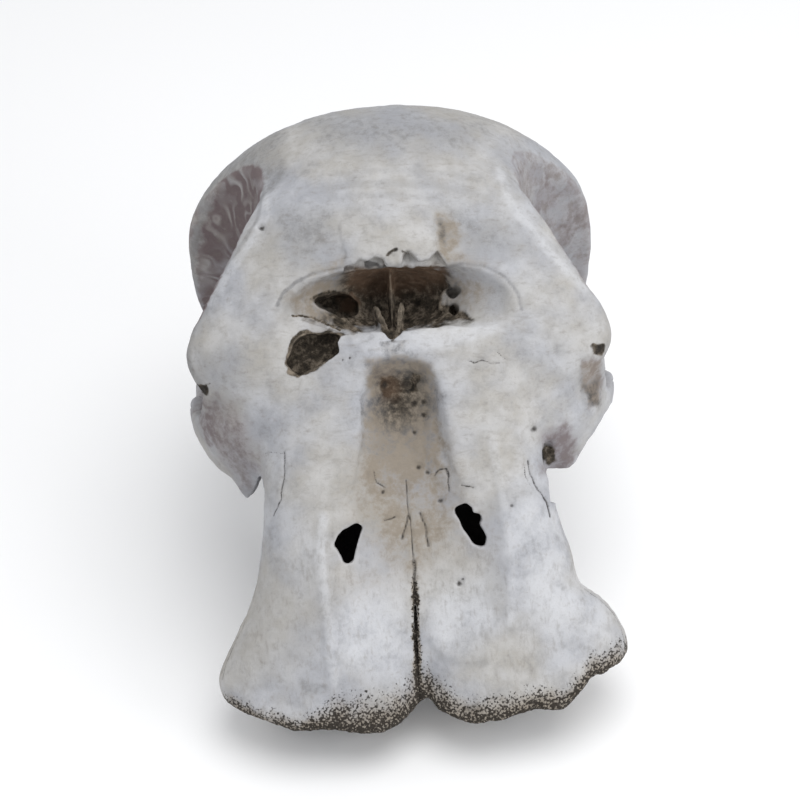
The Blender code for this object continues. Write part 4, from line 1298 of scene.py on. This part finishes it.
def scar_back(skin):
    """The ridges and roughness left by the neck's muscles on the back wall, and its pit, tan with painted
    shade.
    """
    back = ramp(skin.normals[:, 1], 0.15, 0.5)
    across, height = np.abs(skin.places[:, 0]), skin.places[:, 2]
    for half, rise, points in BACK_LINES:
        near = near_line(across + 0.004 * skin.rough, height + 0.006 * skin.ripple, points)
        skin.push += rise * (1 - ramp(near, 0.2 * half, 2.0 * half)) * back
    scarred = back * ramp(0.78 - height, 0.0, 0.08) * ramp(across, 0.05, 0.10)
    skin.push += scarred * 0.0022 * value_noise(skin.places * np.array((1.0, 1.0, 0.35)), 0.012, 11)
    skin.lay("grey", 0.5 * scarred * ramp(skin.lumps + skin.ripple, -0.2, 0.6))
    # The pit is tinted tan and, as painted shade, darkened the deeper it sinks.
    sunk = ramp(follow(height, PIT_WALL) - skin.places[:, 1], 0.004, 0.038) * (skin.places[:, 1] > 0.39)
    pit_shade = sunk * ramp(height, 0.48, 0.52) * (1 - ramp(height, 0.72, 0.75))
    pit_shade = pit_shade * (1 - ramp(across, 0.055, 0.070))
    skin.lay("tan", 0.35 * pit_shade)
    skin.lay("hollow", pit_shade)


def crack_sides(skin):
    side = ramp(np.abs(skin.normals[:, 0]), 0.35, 0.6)
    y, z = skin.places[:, 1] + 0.003 * skin.rough, skin.places[:, 2] + 0.003 * skin.ripple
    for half, depth, points in SIDE_CRACKS:
        skin.crack(near_line(y, z, points), half, depth, side, 0.3)


def mark_form(skin):
    """Painted shade in hollows, painted black shade deep in sockets and ragged holes, and worn edges."""
    x, s, h = skin.x, skin.s, skin.h
    hollow = skin.hollowness(BROAD_ROUNDS)
    # Painted black shade deep in the hollows of the tusk sockets.
    deep = ramp(-h, 0.050, 0.075) * (s < 0.46) * (np.abs(x) < 0.30) * ramp(hollow, 0.001, 0.010)
    skin.lay("black", deep)
    # Painted black shade inside the ragged holes, where they open into the sockets.
    for edge in RAGGED_HOLES.values():
        hole_shade = ramp(patch(x, s, edge, 0.008), 0.1, 0.5) * ramp(-h, 0.052, 0.062) * (skin.turned > -0.3)
        skin.lay("black", hole_shade)
    # Painted shade: a point is darkened the deeper it lies under its surroundings.
    skin.lay("hollow", np.minimum(hollow / FULL_HOLLOW, 1))
    skin.marks["edge"] = np.clip(-skin.hollowness(CLOSE_ROUNDS) / FULL_EDGE, -1, 1)
    skin.marks["crack"] = np.minimum(skin.marks["crack"], CRACK_FULL)


def weathered(body):
    """The weathered form, its points and the marks that they carry."""
    skin = Skin(body.data)
    for change in (break_rims, stains_and_painted_light, score, soil_and_shade_nose, tint_temples, scar_back, crack_sides, mark_form):
        change(skin)
    moved = skin.places + skin.normals * skin.push[:, None]
    body.data.vertices.foreach_set("co", moved.ravel())
    body.data.update()
    return body, moved, skin.marks


# The bone's material: chalky, weathered and full of pores, grey-white with warmer and bluer fields. Soil is
# brown in its hollows, the worn edges are pale, and the temples have kept a mauve-grey skin. Shade is also
# painted into the colour: darker hollows, black in deep holes and notches, dark soil deep in the nose, and
# grey along some ridges and socket sides; some ridges get painted highlights.
class Wire:
    """A shader socket. Its arithmetic adds Math nodes, and add() makes any other node."""

    def __init__(self, tree, socket):
        self.tree = tree
        self.socket = socket

    def add(self, kind, settings, inputs, output=0):
        """A node with its settings made first, then its sockets set or linked."""
        node = self.tree.nodes.new(f"ShaderNode{kind}")
        for name, value in settings.items():
            if name == "stops":
                elements = node.color_ramp.elements
                for element, (place, colour) in zip(elements, (value[0], value[-1])):
                    element.position = place
                    element.color = colour
                for place, colour in value[1:-1]:
                    elements.new(place).color = colour
            else:
                setattr(node, name, value)
        for key, value in inputs.items():
            if isinstance(value, Wire):
                self.tree.links.new(value.socket, node.inputs[key])
            else:
                node.inputs[key].default_value = value
        return Wire(self.tree, node.outputs[output])

    def math(self, operation, first, second):
        return self.add("Math", {"operation": operation}, {0: first, 1: second})

    def __add__(self, other):
        return self.math("ADD", self, other)

    def __radd__(self, other):
        return self.math("ADD", other, self)

    def __sub__(self, other):
        return self.math("SUBTRACT", self, other)

    def __rsub__(self, other):
        return self.math("SUBTRACT", other, self)

    def __mul__(self, other):
        return self.math("MULTIPLY", self, other)

    def __rmul__(self, other):
        return self.math("MULTIPLY", other, self)

    def eased(self, low, high):
        """0 where this is below low and 1 above high, with an even ease between."""
        settings = {"interpolation_type": "SMOOTHSTEP"}
        return self.add("MapRange", settings, {"Value": self, "From Min": low, "From Max": high})

    def blend(self, under, over):
        """The colour under, changed by the colour over as far as this factor says."""
        return self.add("Mix", {"data_type": "RGBA"}, {0: self, 6: under, 7: over}, 2)


# The pale colour also paints highlights; the grey, dirt, black and darkest soil colours also paint shade.
BONE_COOL = (0.385, 0.392, 0.420, 1.0)
BONE_WARM = (0.420, 0.402, 0.372, 1.0)
BONE_PALE_AND_HIGHLIGHT = (0.585, 0.592, 0.612, 1.0)
BONE_TAN = (0.262, 0.222, 0.174, 1.0)
BONE_GREY_AND_SHADE = (0.195, 0.195, 0.200, 1.0)
BONE_MAUVE = (0.154, 0.122, 0.124, 1.0)
DIRT_AND_SHADE = (0.200, 0.180, 0.158, 1.0)
SOIL_AND_SHADE_STOPS = (
    (0.38, (0.014, 0.012, 0.009, 1.0)),
    (0.50, (0.062, 0.050, 0.037, 1.0)),
    (0.62, (0.240, 0.200, 0.155, 1.0)),
)
RUST = (0.150, 0.092, 0.058, 1.0)
SHADE_BLACK = (0.010, 0.008, 0.007, 1.0)
PORE = (0.014, 0.011, 0.008, 1.0)
CRACK = (0.022, 0.018, 0.015, 1.0)


def new_material(name):
    """A material, its shader, and the place of each point in the object's own metres."""
    made = bpy.data.materials.new(name)
    made.use_nodes = True
    tree = made.node_tree
    place = Wire(tree, tree.nodes.new("ShaderNodeTexCoord").outputs["Object"])
    return made, tree.nodes["Principled BSDF"], place


def plug(shader, wires):
    for name, wire in wires.items():
        wire.tree.links.new(wire.socket, shader.inputs[name])


def bone_material():
    made, shader, place = new_material("bone")

    def noise_of(scale, detail, roughness=0.55, where=place):
        inputs = {"Vector": where, "Scale": scale, "Detail": detail, "Roughness": roughness}
        return place.add("TexNoise", {}, inputs)

    def mark(name):
        return place.add("Attribute", {"attribute_name": name}, {}, 2)

    hollow, edge, soil, porous, crack = (mark(name) for name in ("hollow", "edge", "soil", "porous", "crack"))
    fields = noise_of(4.5, 3)
    patches = noise_of(19, 6, 0.6)
    mottling = noise_of(70, 6, 0.7)
    grain = noise_of(420, 3, 0.6)
    along = place.add("Mapping", {}, {"Vector": place, "Scale": (0.35, 1.0, 1.0)})
    upright = place.add("Mapping", {}, {"Vector": place, "Scale": (1.0, 0.35, 0.35)})
    low = 1.0 - place.add("SeparateXYZ", {}, {"Vector": place}, 2).eased(0.34, 0.46)
    fibres = noise_of(120, 4, 0.65, along) * (1.0 - low) + noise_of(120, 4, 0.65, upright) * low
    broad = patches.eased(0.34, 0.66)
    fine = mottling.eased(0.34, 0.66)

    cloudy = broad * 0.55 + fine * 0.55

    def ragged(name, least=0.35):
        """A mark that comes and goes with the bone's own patches."""
        return (mark(name) * (least + cloudy)).eased(0.0, 1.05)

    colour = fields.eased(0.40, 0.62).blend(BONE_COOL, BONE_WARM)
    colour = (broad * 0.34).blend(colour, BONE_PALE_AND_HIGHLIGHT)
    colour = ((1.0 - broad) * (1.0 - fine) * 0.34).blend(colour, BONE_GREY_AND_SHADE)
    # The pale mark: paler bone, and painted highlights on some ridges and on the lit side of the left socket.
    colour = (ragged("pale", 0.6) * 0.80).blend(colour, BONE_PALE_AND_HIGHLIGHT)
    # The grey mark: grey stains, and painted shade along some ridges and a crease and on socket sides.
    colour = (ragged("grey") * 0.75).blend(colour, BONE_GREY_AND_SHADE)
    colour = (ragged("tan") * 0.90).blend(colour, BONE_TAN)
    colour = (ragged("mauve", 0.45) * 0.90).blend(colour, BONE_MAUVE)
    colour = (ragged("temple", 0.6) * 0.88 + mark("streak") * 0.80).blend(colour, BONE_MAUVE)
    colour = (mottling.eased(0.50, 0.78) * 0.42).blend(colour, DIRT_AND_SHADE)
    colour = (fibres.eased(0.50, 0.74) * 0.32).blend(colour, DIRT_AND_SHADE)
    # Painted shade in the hollows and the nuchal pit, in the dirt colour.
    colour = ((hollow + broad * 0.2).eased(0.25, 1.00) * 0.6).blend(colour, DIRT_AND_SHADE)
    colour = (edge.eased(0.15, 0.9) * 0.22).blend(colour, BONE_PALE_AND_HIGHLIGHT)
    soil_and_shade_colour = mottling.add("ValToRGB", {"stops": SOIL_AND_SHADE_STOPS}, {"Fac": mottling * 0.75 + patches * 0.25})
    soil_and_shade_colour = (mark("rust") * 0.75).blend(soil_and_shade_colour, RUST)
    # Soil, which deep in the nose opening and the window is also painted shade.
    colour = (soil * (1.6 + cloudy * 0.5) - cloudy * 0.7).eased(-0.15, 0.95).blend(colour, soil_and_shade_colour)
    colour = (edge.eased(0.3, 1.0) * soil * 0.35).blend(colour, BONE_TAN)
    cells = place.add("TexVoronoi", {}, {"Vector": place, "Scale": 230.0, "Randomness": 1.0})
    pores = (porous * 0.76 + noise_of(230, 2, 0.5) * 2.0 + cells * 0.8).eased(1.70, 2.10)
    colour = (porous.eased(0.1, 0.9) * 0.85).blend(colour, BONE_TAN)
    colour = (porous.eased(0.0, 0.2) * pores * 0.92).blend(colour, PORE)
    # Painted black shade in the deep hollows of the sockets, inside the ragged holes and in notches.
    colour = mark("black").eased(0.2, 0.8).blend(colour, SHADE_BLACK)
    colour = ((crack - mottling * 1.6).eased(2.1, 3.3) * 0.9).blend(colour, CRACK)
    colour = (grain.eased(0.58, 0.74) * 0.22).blend(colour, DIRT_AND_SHADE)
    relief = mottling * 0.6 + grain * 0.25 + fibres * 0.4 - porous * cells * 1.4 + soil * mottling * 0.8
    bump = place.add("Bump", {}, {"Strength": 0.75, "Distance": 0.0025, "Height": relief})
    plug(shader, {"Base Color": colour, "Normal": bump, "Roughness": 0.74 + mottling * 0.2})
    shader.inputs["Specular IOR Level"].default_value = 0.2
    return made


# The cheek teeth: one great molar on each side, of upright enamel plates in cement, worn flat across.
MOLAR_LENGTH = 0.24
MOLAR_WIDTH = 0.082
MOLAR_MIDDLE = (0.094, -0.030)
MOLAR_TOP = 0.085
MOLAR_PLATES = 9
MOLAR_SLANT = 0.016
MOLAR_SPREAD = 0.004
MOLAR_SET = 0.006
CEMENT_BACK = 0.004
PLATE_WAVE = 0.0009
PLATE_POINTS = 32
ENAMEL = (0.62, 0.55, 0.43, 1.0)
DENTINE = (0.40, 0.31, 0.20, 1.0)
TARTAR = (0.16, 0.115, 0.07, 1.0)
FLOOR = 0.0245


def molar_body(name, side, extra):
    """A cheek tooth's rounded block, larger by extra all round."""
    x, y = MOLAR_MIDDLE
    half = MOLAR_LENGTH / 2
    shares = ((-1.0, 0.60), (-0.9, 0.86), (-0.6, 0.98), (0.0, 1.0), (0.6, 0.96), (0.9, 0.84), (1.0, 0.60))
    stations = []
    for along, share in shares:
        middle_z = FLOOR + MOLAR_TOP / 2 + MOLAR_SET
        middle = Vector((side * (x + MOLAR_SPREAD * along), y + along * (half + extra), middle_z))
        wide = ACROSS * (MOLAR_WIDTH / 2 * share + extra)
        lift = MOLAR_SLANT * (1 - along) / 2
        low = UP * -(MOLAR_TOP / 2 - lift - CEMENT_BACK + extra)
        stations.append((middle, wide, UP * (MOLAR_TOP / 2 + extra), low, 3.4))
    return loft(name, stations, steps=6, points=40)


def molar_plate(side, k, extra):
    """One worn loop of enamel across the tooth."""
    x, y = MOLAR_MIDDLE
    pitch = MOLAR_LENGTH * 0.9 / MOLAR_PLATES
    along = (k + 0.5) / MOLAR_PLATES * 2 - 1
    lift = MOLAR_SLANT * (1 - along) / 2
    half = MOLAR_WIDTH / 2 * (0.80 - 0.18 * along**4) + extra
    centre = Vector((side * x, y + (k + 0.5 - MOLAR_PLATES / 2) * pitch, FLOOR))
    rings = []
    for z, swell in ((lift + 0.002 - extra, 0.66), (lift + 0.004, 0.76), (lift + 0.020 + extra, 1.0)):
        thick = pitch * 0.40 * swell + extra
        ring = []
        for j in range(PLATE_POINTS):
            angle = 2 * math.pi * j / PLATE_POINTS
            a = half * math.cos(angle)
            narrow = 0.28 + 0.72 * (1 - abs(math.cos(angle)) ** 2.2)
            wave = PLATE_WAVE * math.sin(5 * angle + 1.7 * k) * (1 if extra == 0 else 0)
            ring.append(centre + Vector((a, (thick * narrow + wave) * math.sin(angle), z)))
        rings.append(ring)
    return closed_mesh("plate", rings)


def molar(side, extra):
    """A whole tooth, or its pocket in the jaw where extra is more than 0."""
    body = molar_body("molar", side, extra)
    for k in range(MOLAR_PLATES):
        combined(body, molar_plate(side, k, 2 * extra), "UNION")
    return body


def tooth_material():
    made, shader, place = new_material("tooth")
    stains = place.add("TexNoise", {}, {"Vector": place, "Scale": 60.0, "Detail": 5.0, "Roughness": 0.6})
    stretched = place.add("Mapping", {}, {"Vector": place, "Scale": (1.0, 6.0, 1.0)})
    bands = place.add("TexNoise", {}, {"Vector": stretched, "Scale": 30.0, "Detail": 3.0})
    colour = bands.eased(0.40, 0.62).blend(ENAMEL, DENTINE)
    colour = (stains.eased(0.48, 0.72) * 0.7).blend(colour, TARTAR)
    bump = place.add("Bump", {}, {"Strength": 0.3, "Distance": 0.001, "Height": stains + bands})
    plug(shader, {"Base Color": colour, "Normal": bump, "Roughness": 0.32 + stains * 0.3})
    return made


# The named bones: the one skin is parted along flat cuts into the frame's nodes, and each bone replaces its
# own. The cuts leave no gap, and the skin's shape and marks run on across them.
SOCKET_SAW = 0.440
SOCKET_DEPTH = 0.25
FACE_DEPTH = 0.215
ARCH_ZONE = ((0.315, -0.50, 0.27), (0.50, 0.17, 0.52))
NECK_ZONE = ((-0.14, 0.372, 0.20), (0.14, 0.70, 0.45))
JAW_ZONE = ((-0.30, -0.50, -0.10), (0.30, 0.135, 0.300))
POCKET_GAP = 0.0002
FAR = 3.0
SHARP_EDGE = math.radians(50)


def box(name, low, high, origin=Vector(), axes=(ACROSS, BACK, UP)):
    """A box between two corners, in the axes and from the origin given."""
    rings = []
    for z in (low[2], high[2]):
        corners = ((low[0], low[1], z), (high[0], low[1], z), (high[0], high[1], z), (low[0], high[1], z))
        rings.append([origin + axes[0] * a + axes[1] * b + axes[2] * c for a, b, c in corners])
    return closed_mesh(name, rings)


def island_labels(mesh):
    """A number for each point that is the same all over one connected surface."""
    ends = read(mesh)[2]
    first, second = ends[:, 0], ends[:, 1]
    label = np.arange(len(mesh.vertices))
    while True:
        low = np.minimum(label[first], label[second])
        new = label.copy()
        np.minimum.at(new, label[first], low)
        np.minimum.at(new, label[second], low)
        new = new[new]
        if np.array_equal(new, label):
            return label
        label = new


def largest_only(body):
    """Drops all but the largest connected surface."""
    label = island_labels(body.data)
    keep = np.bincount(label).argmax()
    if np.all(label == keep):
        return body
    form = bmesh.new()
    form.from_mesh(body.data)
    form.verts.ensure_lookup_table()
    bmesh.ops.delete(form, geom=[form.verts[int(k)] for k in np.nonzero(label != keep)[0]], context="VERTS")
    form.to_mesh(body.data)
    form.free()
    return body


def sawn_off(body, low, high, **axes):
    """Takes what lies in a box off the body as a piece of its own."""
    piece = linked("piece", body.data.copy())
    combined(piece, box("zone", low, high, **axes), "INTERSECT")
    combined(body, box("zone", low, high, **axes), "DIFFERENCE")
    return largest_only(piece)


def one_side(side, zone):
    """A zone's corners with its X counted outwards on the given side."""
    low, high = zone
    ends = sorted((side * low[0], side * high[0]))
    return (ends[0], *low[1:]), (ends[1], *high[1:])


def parted(body):
    """The skull's bones and teeth, sawn from the one form, by the names of the frame's nodes."""
    parts = {}
    for name, side in SIDES.items():
        combined(body, molar(side, POCKET_GAP), "DIFFERENCE")
        parts[f"molar_{name}"] = molar(side, 0.0)
    for solid in [body, *parts.values()]:
        combined(solid, box("above", (-FAR, -FAR, FLOOR), (FAR, FAR, FAR)), "INTERSECT")
    face_axes = {"origin": FACE_FOOT, "axes": (ACROSS, AXIS_UP, FACE_OUT)}
    for name, side in SIDES.items():
        zone = one_side(side, ((0, -FAR, -SOCKET_DEPTH), (FAR, SOCKET_SAW, FAR)))
        parts[f"tusk_socket_{name}"] = sawn_off(body, *zone, **face_axes)
    parts["face"] = sawn_off(body, (-FAR, -FAR, -FACE_DEPTH), (FAR, FAR, FAR), **face_axes)
    for name, side in SIDES.items():
        parts[f"cheek_arch_{name}"] = sawn_off(body, *one_side(side, ARCH_ZONE))
    parts["neck_joint"] = sawn_off(body, *NECK_ZONE)
    parts["upper_jaw"] = sawn_off(body, *JAW_ZONE)
    parts["braincase"] = largest_only(body)
    return parts


def carry_marks(parts, places, marks):
    """Gives each point of the sawn bones the marks of the nearest point of the whole skin."""
    tree = KDTree(len(places))
    for k, place in enumerate(places.tolist()):
        tree.insert(place, k)
    tree.balance()
    for piece in parts:
        own = read(piece.data)[0]
        nearest = np.array([tree.find(place)[1] for place in own.tolist()])
        for name, values in marks.items():
            layer = piece.data.attributes.new(name, "FLOAT", "POINT")
            layer.data.foreach_set("value", np.ascontiguousarray(values[nearest], dtype=np.float32))


def dress(piece, node, seat, looks):
    """Seats a piece in the frame and gives it its material."""
    piece.data.transform(Matrix.Translation(seat))
    slot = "tooth" if node.startswith("molar") else "bone"
    piece.data.materials.clear()
    piece.data.materials.append(looks[slot])
    piece.data.shade_smooth()
    piece.data.set_sharp_from_angle(angle=SHARP_EDGE)
    piece.name = f"{node}_fine"
    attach(piece, "root")
    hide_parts(node)


def build_skull():
    looks = {"bone": bone_material(), "tooth": tooth_material()}
    low_left, high_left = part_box("molar_left")
    low_right, high_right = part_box("molar_right")
    middle = (low_left + high_left + low_right + high_right) / 4
    seat = Vector((middle.x, middle.y - MOLAR_MIDDLE[1], -FLOOR))
    body, places, marks = weathered(fine_skin())
    parts = parted(body)
    carry_marks([piece for node, piece in parts.items() if not node.startswith("molar")], places, marks)
    for node, piece in parts.items():
        dress(piece, node, seat, looks)


build_skull()
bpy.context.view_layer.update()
